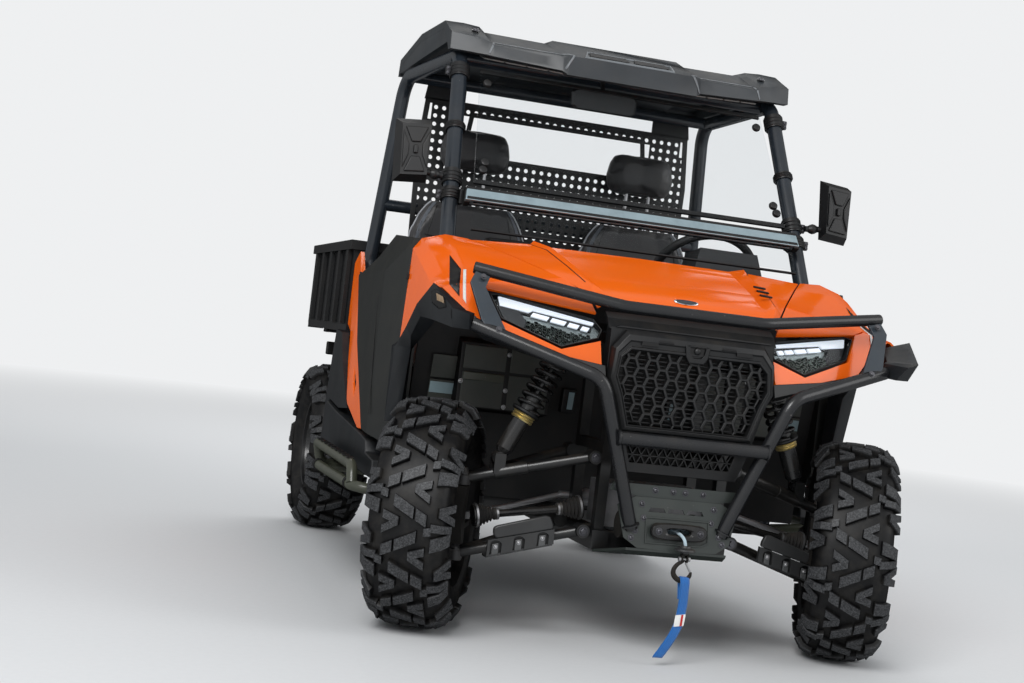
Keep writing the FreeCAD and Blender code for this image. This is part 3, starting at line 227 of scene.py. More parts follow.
DUST = (0.20, 0.165, 0.125)
COAT_SHARPER = 0.06


def gloss_orange():
    """Moulded-in orange under a gloss skin, with faint dust and fine scratches."""
    finish = Finish("gloss_orange")
    flow = finish.clamp(finish.noise(0.5, 2.0), 0.3, 0.7)
    colour = finish.mix(flow, (0.93, 0.146, 0.007), (0.87, 0.124, 0.005))
    dust = finish.dust(0.07)
    colour = finish.mix(dust, colour, (0.50, 0.26, 0.12))
    scratches = finish.clamp(finish.noise(0.004, 8.0, 0.8), 0.62, 0.78)
    rough = 0.24 + dust * 1.2 + scratches * 0.10
    peel = finish.bump(finish.noise(0.006, 2.0), 0.05, 0.0004)
    return finish.surface(Base_Color=colour, Roughness=rough, Normal=peel, Specular_IOR_Level=0.0,
                          Coat_Weight=finish.skin(1.0), Coat_Roughness=0.14)


def grained(name, colour, rough, grain=0.0011, depth=0.35, dust=0.10):
    """Moulded plastic with a leather-like spark-eroded grain."""
    finish = Finish(name)
    dark = tuple(c * 0.72 for c in colour)
    patches = finish.clamp(finish.noise(0.16, 4.0), 0.35, 0.70)
    dusty = finish.dust(dust)
    base = finish.mix(dusty, finish.mix(patches, colour, dark), DUST)
    scuffs = finish.clamp(finish.noise(0.012, 9.0, 0.72), 0.60, 0.80)
    roughness = rough + dusty * 0.4 - scuffs * 0.10
    pits = finish.cells(grain) + finish.noise(grain * 2.5, 2.0) * 0.6
    return finish.surface(Base_Color=base, Roughness=roughness, Specular_IOR_Level=0.0,
                          Coat_Weight=finish.skin(0.8), Coat_Roughness=rough - COAT_SHARPER,
                          Normal=finish.bump(pits, depth, 0.0003))


def coated(name, colour, rough, metallic=0.0, dust=0.22, coat=1.0):
    """Powder coat: an even colour with orange peel, dust and a few chips."""
    finish = Finish(name)
    dusty = finish.dust(dust)
    shade = finish.clamp(finish.noise(0.10, 5.0), 0.3, 0.7)
    base = finish.mix(shade, colour, tuple(c * 1.35 for c in colour))
    chips = finish.clamp(finish.noise(0.009, 3.0, 0.4), 0.755, 0.775)
    base = finish.mix(chips * 0.5, finish.mix(dusty, base, DUST), (0.22, 0.21, 0.20))
    peel = finish.bump(finish.noise(0.0022, 2.0), 0.22, 0.0003)
    return finish.surface(Base_Color=base, Roughness=rough + dusty * 0.5, Metallic=metallic, Normal=peel,
                          Specular_IOR_Level=0.0, Coat_Weight=finish.skin(coat),
                          Coat_Roughness=rough - COAT_SHARPER)


def metal(name, colour, rough, streak=0.0006, dust=0.10):
    """Bare metal with fine drawn lines and dull patches."""
    finish = Finish(name)
    stretched = finish.add("ShaderNodeMapping", {"Vector": finish.place, "Scale": (0.03, 1.0, 1.0)})
    lines = finish.noise(streak, 2.0, 0.6, stretched)
    dull = finish.clamp(finish.noise(0.05, 5.0), 0.4, 0.8)
    dusty = finish.dust(dust)
    base = finish.mix(dusty, finish.mix(dull, colour, tuple(c * 0.72 for c in colour)), DUST)
    roughness = rough + lines * 0.12 + dull * 0.14 + dusty
    return finish.surface(Base_Color=base, Roughness=roughness, Metallic=0.95,
                          Normal=finish.bump(lines, 0.06, 0.0002))


def tread_rubber():
    """Tyre rubber: scuffed grey lug tops, dark grooves with dry mud."""
    finish = Finish("tread_rubber")
    height = finish.add("ShaderNodeAttribute", attribute_name="lug")["Fac"]
    scuffs = finish.clamp(finish.noise(0.005, 9.0, 0.75), 0.44, 0.72)
    mud = finish.clamp(finish.noise(0.045, 7.0, 0.65), 0.44, 0.70)
    tops = finish.mix(scuffs, (0.022, 0.0225, 0.0240), (0.120, 0.124, 0.130))
    grooves = finish.mix(mud * 0.5, (0.0050, 0.0050, 0.0055), (0.032, 0.029, 0.025))
    base = finish.mix(finish.clamp(height, 0.60, 0.98), grooves, tops)
    cuts = finish.noise(0.0035, 6.0, 0.7)
    return finish.surface(Base_Color=base, Roughness=0.62 + mud * 0.25, Specular_IOR_Level=0.0,
                          Coat_Weight=finish.skin(0.5), Coat_Roughness=0.45,
                          Normal=finish.bump(cuts, 0.35, 0.0010))


def boot_rubber():
    """Soft black rubber, grey with dust where it looks up."""
    finish = Finish("boot_rubber")
    dusty = finish.dust(0.5)
    base = finish.mix(dusty, (0.020, 0.020, 0.021), DUST)
    return finish.surface(Base_Color=base, Roughness=0.48 + dusty * 0.6,
                          Normal=finish.bump(finish.noise(0.003, 3.0), 0.15, 0.0004))


def vinyl(name, colour, rough=0.42):
    """Seat vinyl: pebbled leather grain with a slight sheen."""
    finish = Finish(name)
    pebbles = finish.cells(0.0022, "SMOOTH_F1")
    pores = finish.noise(0.0009, 2.0)
    broad = finish.clamp(finish.noise(0.12, 3.0), 0.35, 0.7)
    dusty = finish.dust(0.18)
    base = finish.mix(dusty, finish.mix(broad, colour, tuple(c * 1.5 for c in colour)), DUST)
    normal = finish.bump(pebbles + pores * 0.3, 0.30, 0.0005)
    return finish.surface(Base_Color=base, Roughness=rough + broad * 0.12, Normal=normal, Sheen_Weight=0.15,
                          Sheen_Roughness=0.4)


def pane_glass(name, tint, clear=0.985):
    """A clear sheet: mostly see-through, with a mirror-like skin at low angles."""
    finish = Finish(name)
    smears = finish.clamp(finish.noise(0.07, 6.0, 0.7), 0.50, 0.85)
    through = finish.add("ShaderNodeBsdfTransparent", {"Color": (*tint, 1.0)})
    skin = finish.principled(Base_Color=(0.03, 0.035, 0.035), Roughness=0.02 + smears * 0.08, IOR=1.5,
                             Specular_IOR_Level=0.8, Coat_Weight=1.0, Coat_Roughness=0.02)
    facing = finish.add("ShaderNodeLayerWeight", {"Blend": 0.5})["Facing"]
    share = facing ** 5.0 * 0.5 + (1.0 - clear) + smears * 0.012
    shader = finish.add("ShaderNodeMixShader", {0: share, 1: through, 2: skin})
    return finish.done(shader)


def lit_white():
    """The frosted white light bar of a lamp, faintly lit."""
    finish = Finish("light_bar")
    frost = finish.clamp(finish.noise(0.004, 2.0), 0.3, 0.7)
    base = finish.mix(frost, (0.86, 0.88, 0.92), (0.78, 0.81, 0.87))
    return finish.surface(Base_Color=base, Roughness=0.25, Emission_Color=(0.85, 0.92, 1.0),
                          Emission_Strength=0.55, Coat_Weight=0.6)


def mirror_chrome(name, colour, rough, dark=None):
    """Bright plating; a second colour paints dark patches into it as painted reflection, the broken pattern
    of a reflector.
    """
    finish = Finish(name)
    haze = finish.clamp(finish.noise(0.03, 5.0), 0.4, 0.8)
    if dark:
        # painted reflection: noise patches of the dark colour in the plating
        colour = finish.mix(finish.clamp(finish.noise(0.008, 3.0, 0.6), 0.44, 0.60), dark, colour)
    return finish.surface(Base_Color=colour, Metallic=1.0, Roughness=rough + haze * 0.07)


def woven_blue():
    """Blue webbing; the ribs follow the strap's own UV map."""
    finish = Finish("woven_blue")
    uv = finish.split(finish.add("ShaderNodeUVMap", uv_map="cloth"))
    ribs = finish.add("ShaderNodeMath", {0: uv["X"] * 150.0}, operation="SINE")
    picks = finish.add("ShaderNodeMath", {0: uv["Y"] * 900.0 + ribs * 1.6}, operation="SINE")
    weave = ribs * 0.5 + picks * 0.5
    share = finish.clamp(weave, -1.0, 1.0)
    base = finish.mix(share, (0.002, 0.100, 0.40), (0.005, 0.190, 0.60))
    worn = finish.clamp(finish.noise(0.02, 5.0), 0.5, 0.8)
    base = finish.mix(worn * 0.2, base, (0.05, 0.16, 0.34))
    return finish.surface(Base_Color=base, Roughness=0.72, Sheen_Weight=0.3,
                          Normal=finish.bump(weave, 0.6, 0.0006))


# Finishes: the material's name, its colour and roughness, then what differs from the usual

ORANGE = gloss_orange()
BLACK = grained("black_plastic", (0.0085, 0.0090, 0.0100), 0.46)
FLARE = grained("flare_plastic", (0.0150, 0.0170, 0.0195), 0.50, 0.0014, 0.45, 0.10)
DOOR = grained("door_plastic", (0.0085, 0.0100, 0.0092), 0.46, 0.0016, 0.5, 0.10)
BOX = grained("box_plastic", (0.0620, 0.0680, 0.0610), 0.50, 0.0014, 0.4, 0.3)
ROOF = grained("roof_plastic", (0.034, 0.039, 0.044), 0.44, 0.0016, 0.4, 0.18)
DASH = grained("dash_plastic", (0.022, 0.023, 0.025), 0.55)
# The lining's grey is made lighter as painted light, to lift the roof's underside, which lies in shade.
INNER_GREY = grained("lining_plastic", (0.240, 0.235, 0.225), 0.55)
INNER = grained("inner_plastic", (0.0065, 0.0065, 0.0070), 0.60, dust=0.15)
BAR = coated("bar_coat", (0.0080, 0.0086, 0.0100), 0.32, dust=0.10)
BRACKET = coated("bracket_coat", (0.024, 0.032, 0.041), 0.36, dust=0.10)
PLATE = coated("plate_coat", (0.024, 0.029, 0.027), 0.40, dust=0.12)
FRAME = coated("frame_coat", (0.0075, 0.0078, 0.0082), 0.36, dust=0.25)
CAGE = coated("cage_coat", (0.0135, 0.0180, 0.0240), 0.28, dust=0.10)
SIDE_BAR = coated("side_bar_coat", (0.046, 0.050, 0.036), 0.34, dust=0.15)
RIM = coated("rim_coat", (0.0085, 0.0088, 0.0095), 0.32, dust=0.2)
IRON = coated("dark_iron", (0.022, 0.021, 0.020), 0.55, 0.3, 0.35, 0.0)
ALUMINIUM = metal("bar_aluminium", (0.33, 0.42, 0.46), 0.30)
STEEL = metal("machined_steel", (0.42, 0.42, 0.43), 0.32)
CAST = metal("cast_alloy", (0.26, 0.26, 0.27), 0.50, 0.003, 0.4)
ZINC = metal("yellow_zinc", (0.62, 0.50, 0.22), 0.32)
BOLT = metal("bolt_steel", (0.10, 0.10, 0.11), 0.34)
TYRE = tread_rubber()
GUARD_CAP = grained("guard_cap", (0.036, 0.037, 0.038), 0.40)
# Light grey for the roof brow's frame and edge lines: painted highlight.
EDGE_HIGHLIGHT = grained("worn_edge", (0.200, 0.215, 0.230), 0.40)
GUARD_TONGUE = grained("guard_tongue", (0.095, 0.098, 0.100), 0.40)
BOOT = boot_rubber()
SEAT = vinyl("seat_vinyl", (0.0110, 0.0110, 0.0125))
STRIPE = vinyl("seat_stripe", (0.135, 0.150, 0.175), 0.38)
PIPING = vinyl("seat_piping", (0.30, 0.31, 0.33), 0.5)
PANE = pane_glass("windshield_glass", (0.955, 0.965, 0.970))
LENS = pane_glass("lamp_lens", (0.96, 0.97, 0.98), 0.97)
LIGHT = lit_white()
CHROME = mirror_chrome("chrome", (0.74, 0.78, 0.80), 0.22)
# the reflector cells' plating carries painted dark reflection patches
REFLECTOR = mirror_chrome("lamp_reflector", (0.78, 0.82, 0.80), 0.16, (0.085, 0.095, 0.085))
BOWL = mirror_chrome("lamp_bowl", (0.16, 0.18, 0.18), 0.30)
MIRROR = mirror_chrome("mirror_glass", (0.80, 0.82, 0.84), 0.01)
BLUE = woven_blue()
WHITE_MARK = coated("white_mark", (0.72, 0.72, 0.70), 0.35, dust=0.3)
BLACK_MARK = grained("black_mark", (0.0045, 0.0045, 0.0050), 0.42, dust=0.08)
TAN_MARK = grained("tan_insert", (0.34, 0.24, 0.15), 0.45)
LABEL = coated("bare_label", (0.24, 0.33, 0.36), 0.35, dust=0.3)
ROPE = coated("winch_rope", (0.42, 0.52, 0.58), 0.70, dust=0.3, coat=0.0)
AMBER = coated("amber_lens", (0.75, 0.22, 0.02), 0.20)
RED_LENS = coated("red_lens", (0.42, 0.010, 0.010), 0.16)

# Floor and light

SURROUND_COLOUR = (0.86, 0.87, 0.88, 1.0)
FLOOR_REACH = 60.0
FLOOR_FADE = (3.5, 11.0)
LAMPS = (("key", (-3.2, -5.6, 4.8), 3.0, 300.0), ("fill", (5.0, -3.8, 3.4), 3.5, 100.0),
         ("back", (1.5, 5.5, 5.0), 4.0, 180.0))
LAMP_AIM = (0, -0.2, 0.8)


def floor_and_light():
    """A pale floor that fades into the pale surround, and three soft lamps."""
    world = bpy.data.worlds.new("surround")
    bpy.context.scene.world = world
    world.use_nodes = True
    sky = Tree(world.node_tree)
    sky.nodes.nodes.clear()
    path = sky.add("ShaderNodeLightPath")
    seen = path["Is Camera Ray"] + path["Is Glossy Ray"] + path["Is Transmission Ray"]
    seen = sky.add("ShaderNodeClamp", {0: seen})
    plain = sky.add("ShaderNodeBackground", {"Color": (0.80, 0.83, 0.86, 1.0), "Strength": 0.42})
    pale = sky.add("ShaderNodeBackground", {"Color": SURROUND_COLOUR, "Strength": 1.0})
    sky.add("ShaderNodeOutputWorld", {0: sky.add("ShaderNodeMixShader", {0: seen, 1: plain, 2: pale})})
    finish = Finish("pale_floor")
    spot = finish.add("ShaderNodeVectorMath", {0: finish.place}, operation="LENGTH")["Value"]
    speckle = finish.noise(0.02, 4.0)
    base = finish.mix(speckle, (0.74, 0.75, 0.76), (0.78, 0.79, 0.80))
    near = finish.principled(Base_Color=base, Roughness=0.85)
    far = finish.add("ShaderNodeEmission", {"Color": SURROUND_COLOUR, "Strength": 1.0})
    fade = finish.clamp(spot, *FLOOR_FADE)
    finish.done(finish.add("ShaderNodeMixShader", {0: fade, 1: near, 2: far}))
    mesh = bpy.data.meshes.new("floor")
    corners = [(x * FLOOR_REACH, y * FLOOR_REACH, 0) for x, y in ((-1, -1), (1, -1), (1, 1), (-1, 1))]
    mesh.from_pydata(corners, [], [(0, 1, 2, 3)])
    mesh.materials.append(finish.material)
    floor = linked(bpy.data.objects.new("floor", mesh))
    for name, place, size, power in LAMPS:
        lamp = bpy.data.lights.new(name, "AREA")
        lamp.size = size
        lamp.energy = power
        holder = linked(bpy.data.objects.new(name, lamp))
        holder.location = place
        aim = Vector(LAMP_AIM) - Vector(place)
        holder.rotation_euler = aim.to_track_quat("-Z", "Y").to_euler()


floor_and_light()
bpy.context.scene.view_settings.view_transform = "Standard"

# Ways to make a piece

HANDS = (("left", 1), ("right", -1))
SHARP_PIECE = math.radians(32)
SHARP_COPY = math.radians(35)
BEVEL_FROM = math.radians(28)
SAME_PLACE = 0.00004
SAME_PLANE = math.radians(0.6)


def as_piece(name, mesh, finish, body="root"):
    """A mesh in the vehicle's frame becomes a piece that rides on a body."""
    piece = linked(bpy.data.objects.new(name, mesh))
    if finish is not None:
        mesh.materials.clear()
        mesh.materials.append(finish)
    mesh.shade_smooth()
    mesh.set_sharp_from_angle(angle=SHARP_PIECE)
    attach(piece, body)
    return piece


def rounded(piece, width, segments=2):
    """Small radii on a piece's edges."""
    bevel = piece.modifiers.new("rounded", "BEVEL")
    bevel.width = width
    bevel.segments = segments
    bevel.limit_method = "ANGLE"
    bevel.angle_limit = BEVEL_FROM
    bevel.use_clamp_overlap = True
    bevel.harden_normals = True
    return piece


def mesh_from(bm, name):
    """An open bmesh becomes a mesh whose faces all look outwards."""
    mesh = bpy.data.meshes.new(name)
    bmesh.ops.recalc_face_normals(bm, faces=bm.faces)
    bm.to_mesh(mesh)
    bm.free()
    return mesh


def merged_copy(node):
    """A CAD node's mesh with its triangles joined and its flat faces whole."""
    bm = bmesh.new()
    bm.from_mesh(NODES[node].data)
    bmesh.ops.remove_doubles(bm, verts=bm.verts, dist=SAME_PLACE)
    bmesh.ops.dissolve_limit(bm, angle_limit=SAME_PLANE, verts=bm.verts, edges=bm.edges)
    return bm


def dressed(node, finish, radius, segments=2):
    """A CAD node as a piece with rounded edges, which stands for the node."""
    mesh = mesh_from(merged_copy(node), node + "_shell")
    piece = as_piece(node + "_shell", mesh, finish, NODES[node]["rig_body"])
    rounded(piece, radius, segments)
    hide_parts(node)
    return piece


def painted(node, finish):
    """A CAD node that stays as it is, in a better finish."""
    mesh = NODES[node].data
    mesh.materials.clear()
    mesh.materials.append(finish)
    for face in mesh.polygons:
        face.material_index = 0


def add_prism(bm, outline, along):
    """A flat outline of points pushed along a vector, into an open bmesh."""
    along = Vector(along)
    first = [bm.verts.new(Vector(p)) for p in outline]
    second = [bm.verts.new(Vector(p) + along) for p in outline]
    bm.faces.new(first)
    bm.faces.new(second[::-1])
    for k in range(len(outline)):
        m = (k + 1) % len(outline)
        bm.faces.new((first[k], second[k], second[m], first[m]))


def circle(steps):
    """The cosine and sine of evenly spaced turns round a full circle."""
    turns = (2 * math.pi * step / steps for step in range(steps))
    return [(math.cos(turn), math.sin(turn)) for turn in turns]


def add_loft(bm, rings, ends="capped"):
    """Faces between rings of points of equal count; its ends are capped, open or joined."""
    rows = [[bm.verts.new(Vector(p)) for p in ring] for ring in rings]
    count = len(rings[0])
    for row, after in zip(rows, rows[1:] + rows[:1] if ends == "joined" else rows[1:]):
        for k in range(count):
            m = (k + 1) % count
            bm.faces.new((row[k], row[m], after[m], after[k]))
    if ends == "capped":
        bm.faces.new(rows[0][::-1])
        bm.faces.new(rows[-1])
    return rows


def lofted(rings):
    """A closed form through rings of points, as an open bmesh."""
    bm = bmesh.new()
    add_loft(bm, rings)
    return bm


def add_lathe(bm, profile, centre, axis, steps=32):
    """A profile of (along, radius) turned about an axis through the centre."""
    centre, axis = Vector(centre), Vector(axis).normalized()
    first = axis.orthogonal().normalized()
    second = axis.cross(first)
    add_loft(bm, [[centre + axis * along + (first * c + second * s) * radius for c, s in circle(steps)]
                  for along, radius in profile])


MM = 0.001


def at(x, y, z):
    """A place given in millimetres."""
    return x * MM, y * MM, z * MM


def metres(points):
    """Places given in millimetres."""
    return [Vector(p) * MM for p in points]


def everything(bm):
    """All the parts of an open bmesh."""
    return bm.verts[:] + bm.edges[:] + bm.faces[:]


def mirrored(bm):
    """Adds the same shape on the vehicle's other side."""
    for item in bmesh.ops.duplicate(bm, geom=everything(bm))["geom"]:
        if isinstance(item, bmesh.types.BMVert):
            item.co.x = -item.co.x


def tube_mesh(name, points, radius):
    """A round tube on a smooth curve through a few given points."""
    curve = bpy.data.curves.new(name, "CURVE")
    curve.dimensions = "3D"
    spline = curve.splines.new("NURBS")
    spline.points.add(len(points) - 1)
    for point, co in zip(spline.points, points):
        point.co = (*co, 1.0)
    spline.order_u = 3
    spline.use_endpoint_u = True
    spline.resolution_u = 12
    curve.bevel_depth = radius
    curve.bevel_resolution = 3
    curve.use_fill_caps = True
    holder = bpy.data.objects.new(name, curve)
    mesh = bpy.data.meshes.new_from_object(holder)
    bpy.data.objects.remove(holder)
    return mesh


# Geometry Nodes: what repeats


class Pattern(Tree):
    """A Geometry Nodes tree with named inputs, run once on a mesh."""

    def __init__(self, name, inputs):
        """The inputs are (label, kind) pairs beside the mesh itself."""
        tree = bpy.data.node_groups.new(name, "GeometryNodeTree")
        super().__init__(tree)
        tree.interface.new_socket("Geometry", in_out="INPUT", socket_type="NodeSocketGeometry")
        for label, kind in inputs:
            tree.interface.new_socket(label, in_out="INPUT", socket_type="NodeSocket" + kind)
        tree.interface.new_socket("Geometry", in_out="OUTPUT", socket_type="NodeSocketGeometry")
        self.entry = self.add("NodeGroupInput")

    def input(self, label):
        """One of the named inputs."""
        return self.entry[label]

    def close(self, geometry, finish):
        """The copies made real, in their finish, as the tree's output."""
        solid = self.add("GeometryNodeRealizeInstances", {"Geometry": geometry})
        dressed_up = self.add("GeometryNodeSetMaterial", {"Geometry": solid, "Material": finish})
        self.add("NodeGroupOutput", {"Geometry": dressed_up})

    def run(self, mesh, values, name):
        """The tree's result on a mesh, as a plain mesh."""
        holder = linked(bpy.data.objects.new(name, mesh))
        modifier = holder.modifiers.new("pattern", "NODES")
        modifier.node_group = self.nodes
        for item in self.nodes.interface.items_tree:
            if item.item_type == "SOCKET" and item.in_out == "INPUT" and item.name in values:
                modifier[item.identifier] = values[item.name]
        holder.update_tag()
        bpy.context.view_layer.update()
        evaluated = holder.evaluated_get(bpy.context.evaluated_depsgraph_get())
        result = bpy.data.meshes.new_from_object(evaluated)
        bpy.data.objects.remove(holder)
        result.name = name
        return result


def facing_points(places):
    """A mesh of points; each carries the way its copy faces and its turn."""
    mesh = bpy.data.meshes.new("places")
    mesh.from_pydata([p for p, *_ in places], [], [])
    mesh.attributes.new("turn", "QUATERNION", "POINT")
    mesh.attributes.new("size", "FLOAT", "POINT")
    turn = mesh.attributes["turn"]
    size = mesh.attributes["size"]
    for index, (_, facing, *rest) in enumerate(places):
        spin = rest[0] if rest else 0.0
        rotation = Vector(facing).to_track_quat("Z", "Y") @ Quaternion((0, 0, 1), spin)
        turn.data[index].value = rotation
        size.data[index].value = rest[1] if len(rest) > 1 else 1.0
    return mesh


def copies_pattern(name, finish, shape):
    """Puts a copy of one small object on each point, turned to face its way."""
    pattern = Pattern(name, [("Scale", "Float")])
    one = pattern.add("GeometryNodeObjectInfo", {"Object": shape}, transform_space="ORIGINAL")["Geometry"]
    turn = pattern.add("GeometryNodeInputNamedAttribute", {"Name": "turn"}, data_type="QUATERNION")
    size = pattern.add("GeometryNodeInputNamedAttribute", {"Name": "size"}, data_type="FLOAT")
    sockets = {"Points": pattern.input("Geometry"), "Instance": one, "Rotation": turn,
               "Scale": size * pattern.input("Scale")}
    pattern.close(pattern.add("GeometryNodeInstanceOnPoints", sockets), finish)
    return pattern


def template(name, bm):
    """A small shape kept out of sight, for a pattern to copy."""
    mesh = mesh_from(bm, name)
    mesh.shade_smooth()
    mesh.set_sharp_from_angle(angle=SHARP_COPY)
    return bpy.data.objects.new(name, mesh)


def bolt_shape():
    """A flanged button-head bolt of unit radius with a hexagon socket."""
    bm = bmesh.new()
    profile = [(-0.1, 0.2), (-0.1, 1.30), (0.12, 1.34), (0.20, 1.26), (0.22, 0.98), (0.42, 0.94),
               (0.66, 0.80), (0.82, 0.56), (0.86, 0.42)]
    add_lathe(bm, profile + [(0.50, 0.36)], (0, 0, 0), (0, 0, 1), 18)
    return template("bolt_shape", bm)


def hex_bolt_shape():
    """A hexagon-head bolt with its washer."""
    bm = bmesh.new()
    add_lathe(bm, [(-0.1, 0.2), (-0.1, 1.45), (0.16, 1.45), (0.18, 0.98)], (0, 0, 0), (0, 0, 1), 18)
    add_lathe(bm, [(0.14, 1.0), (0.72, 1.0), (0.84, 0.84), (0.85, 0.1)], (0, 0, 0), (0, 0, 1), 6)
    return template("hex_bolt_shape", bm)


BUTTON_BOLTS = copies_pattern("button_bolts", BOLT, bolt_shape())
HEX_BOLTS = copies_pattern("hex_bolts", BOLT, hex_bolt_shape())
STEEL_BOLTS = copies_pattern("steel_bolts", STEEL, bolt_shape())


def bolts(name, places, radius, pattern=BUTTON_BOLTS):
    """Bolts at (place, facing) pairs, as one piece."""
    return as_piece(name, pattern.run(facing_points(places), {"Scale": radius}, name), None)


def both_sides(places):
    """The same places and facings on the left and the right."""
    return list(places) + [((-x, y, z), (-u, v, w), *rest) for (x, y, z), (u, v, w), *rest in places]


# Tyres

TYRE_WIDTH = 0.229
TYRE_RADIUS = 0.330
BEAD_RADIUS = 0.178
LUG_HEIGHT = 0.016
LUG_END_TAPER = 0.35
PITCHES = 11
TYRE_STEPS = 108


def carcass_line(width):
    """Half of a tyre's section, from the crown to the bead, as (x, radius)."""
    half = width / 2
    crown = TYRE_RADIUS - LUG_HEIGHT - 0.001
    return [(0.0, crown), (half * 0.40, crown - 0.0015), (half * 0.68, crown - 0.006),
            (half * 0.86, crown - 0.019), (half * 0.955, crown - 0.042), (half * 0.985, crown - 0.068),
            (half * 0.97, crown - 0.096), (half * 0.90, BEAD_RADIUS + 0.022),
            (half * 0.80, BEAD_RADIUS + 0.010), (half * 0.70, BEAD_RADIUS + 0.0035)]


def smooth_line(points, steps):
    """A Catmull-Rom line through points, with its lengths."""
    line = []
    padded = [points[0], *points, points[-1]]
    for p0, p1, p2, p3 in zip(padded, padded[1:], padded[2:], padded[3:]):
        for step in range(steps):
            t = step / steps
            pair = []
            for a, b, c, d in zip(p0, p1, p2, p3):
                pair.append(0.5 * (2 * b + (c - a) * t + (2 * a - 5 * b + 4 * c - d) * t * t
                                   + (3 * b - a - 3 * c + d) * t ** 3))
            line.append(tuple(pair))
    line.append(tuple(points[-1]))
    return line


class Carcass:
    """Places on a tyre's outside, by distance across it and along it."""

    def __init__(self, width):
        self.half = smooth_line(carcass_line(width), 6)
        self.lengths = [0.0]
        for (x0, r0), (x1, r1) in zip(self.half, self.half[1:]):
            self.lengths.append(self.lengths[-1] + math.hypot(x1 - x0, r1 - r0))

    def section(self, across):
        """The x and radius at a distance across, with the outward direction."""
        side = 1.0 if across >= 0 else -1.0
        reach = min(abs(across), self.lengths[-1] - 1e-6)
        k = max(i for i, length in enumerate(self.lengths[:-1]) if length <= reach)
        share = (reach - self.lengths[k]) / (self.lengths[k + 1] - self.lengths[k])
        (x0, r0), (x1, r1) = self.half[k], self.half[k + 1]
        run = math.hypot(x1 - x0, r1 - r0)
        outwards = (side * (r0 - r1) / run, (x1 - x0) / run)
        return side * (x0 + (x1 - x0) * share), r0 + (r1 - r0) * share, outwards

    def point(self, across, turn, height):
        """A point at a height above the carcass; turn is in radians."""
        x, radius, (out_x, out_r) = self.section(across)
        x += out_x * height
        radius += out_r * height
        return Vector((x, radius * math.cos(turn), radius * math.sin(turn)))


def lug(bm, layer, carcass, pairs, height=LUG_HEIGHT):
    """One lug: pairs of (across, along) points on its two long edges."""
    pitch = 2 * math.pi / PITCHES
    middle = [((a[0] + b[0]) / 2, (a[1] + b[1]) / 2) for a, b in pairs]
    rows = []
    for level, shrink, value in ((-0.002, 1.08, 0.0), (height - 0.0016, 0.99, 0.9), (height, 0.93, 1.0)):
        row = []
        for index, ((a, b), (mid_u, mid_v)) in enumerate(zip(pairs, middle)):
            if index in (0, len(pairs) - 1):
                other = middle[1] if index == 0 else middle[-2]
                end_shift = (shrink - 1.0) * LUG_END_TAPER
                mid_u += (mid_u - other[0]) * end_shift
                mid_v += (mid_v - other[1]) * end_shift
            for corner in (a, b):
                u = mid_u + (corner[0] - middle[index][0]) * shrink
                v = mid_v + (corner[1] - middle[index][1]) * shrink
                vert = bm.verts.new(carcass.point(u, v * pitch, level))
                vert[layer] = value
                row.append(vert)
        rows.append(row)
    last = len(pairs) - 1
    for low, high in zip(rows, rows[1:]):
        for k in range(last):
            bm.faces.new((low[2 * k], high[2 * k], high[2 * k + 2], low[2 * k + 2]))
            bm.faces.new((low[2 * k + 1], low[2 * k + 3], high[2 * k + 3], high[2 * k + 1]))
        bm.faces.new((low[0], low[1], high[1], high[0]))
        bm.faces.new((low[2 * last], high[2 * last], high[2 * last + 1], low[2 * last + 1]))
    top = rows[-1]
    for k in range(last):
        bm.faces.new((top[2 * k], top[2 * k + 1], top[2 * k + 3], top[2 * k + 2]))


def tread_pitch(width):
    """One pitch of the tread: split bars, V lugs and shoulder lugs."""
    carcass = Carcass(width)
    half = width / 2
    bm = bmesh.new()
    layer = bm.verts.layers.float.new("lug")

    def bar(u0, v0, u1, v1, thick):
        """A straight lug from one place across the tread to another."""
        pairs = []
        for share in (0.0, 0.5, 1.0):
            u, v = u0 + (u1 - u0) * share, v0 + (v1 - v0) * share
            pairs.append(((half * u, v - thick), (half * u, v + thick)))
        lug(bm, layer, carcass, pairs)

    def vee(u0, v0, u1, v1, spread, thick):
        """Two legs that part from one place."""
        for way in (-1, 1):
            pairs = [((half * u0, v0 - thick), (half * u0, v0 + thick)),
                     ((half * u1, v1 + way * spread - thick), (half * u1, v1 + way * spread + thick))]
            lug(bm, layer, carcass, pairs, LUG_HEIGHT - 0.0004 * (way + 1))

    for flip, shift in ((1.0, 0.0), (-1.0, 0.5)):
        bar(flip * -0.50, shift + 0.06, flip * -0.24, shift + 0.145, 0.088)
        bar(flip * -0.19, shift + 0.160, flip * 0.30, shift + 0.320, 0.088)
        vee(flip * 0.14, shift + 0.02, flip * 0.52, shift - 0.01, 0.115, 0.062)
        bar(flip * 0.62, shift + 0.20, flip * 1.06, shift + 0.28, 0.105)
        bar(flip * 0.46, shift + 0.395, flip * 0.62, shift + 0.420, 0.062)
        bar(flip * 0.60, shift + 0.47, flip * 1.08, shift + 0.44, 0.062)
        vee(flip * 0.74, shift + 0.70, flip * 1.20, shift + 0.69, 0.130, 0.070)
    return mesh_from(bm, "tread_pitch")


def tread_pattern():
    """Copies of one pitch in a circle about the X axis."""
    pattern = Pattern("tread_ring", [("Pitches", "Int")])
    count = pattern.input("Pitches")
    places = pattern.add("GeometryNodePoints", {"Count": count})
    index = pattern.add("GeometryNodeInputIndex")
    turn = pattern.add("ShaderNodeCombineXYZ", {"X": index * (2 * math.pi) / count})
    sockets = {"Points": places, "Instance": pattern.input("Geometry"), "Rotation": turn}
    pattern.close(pattern.add("GeometryNodeInstanceOnPoints", sockets), TYRE)
    return pattern


TREAD = tread_pattern()


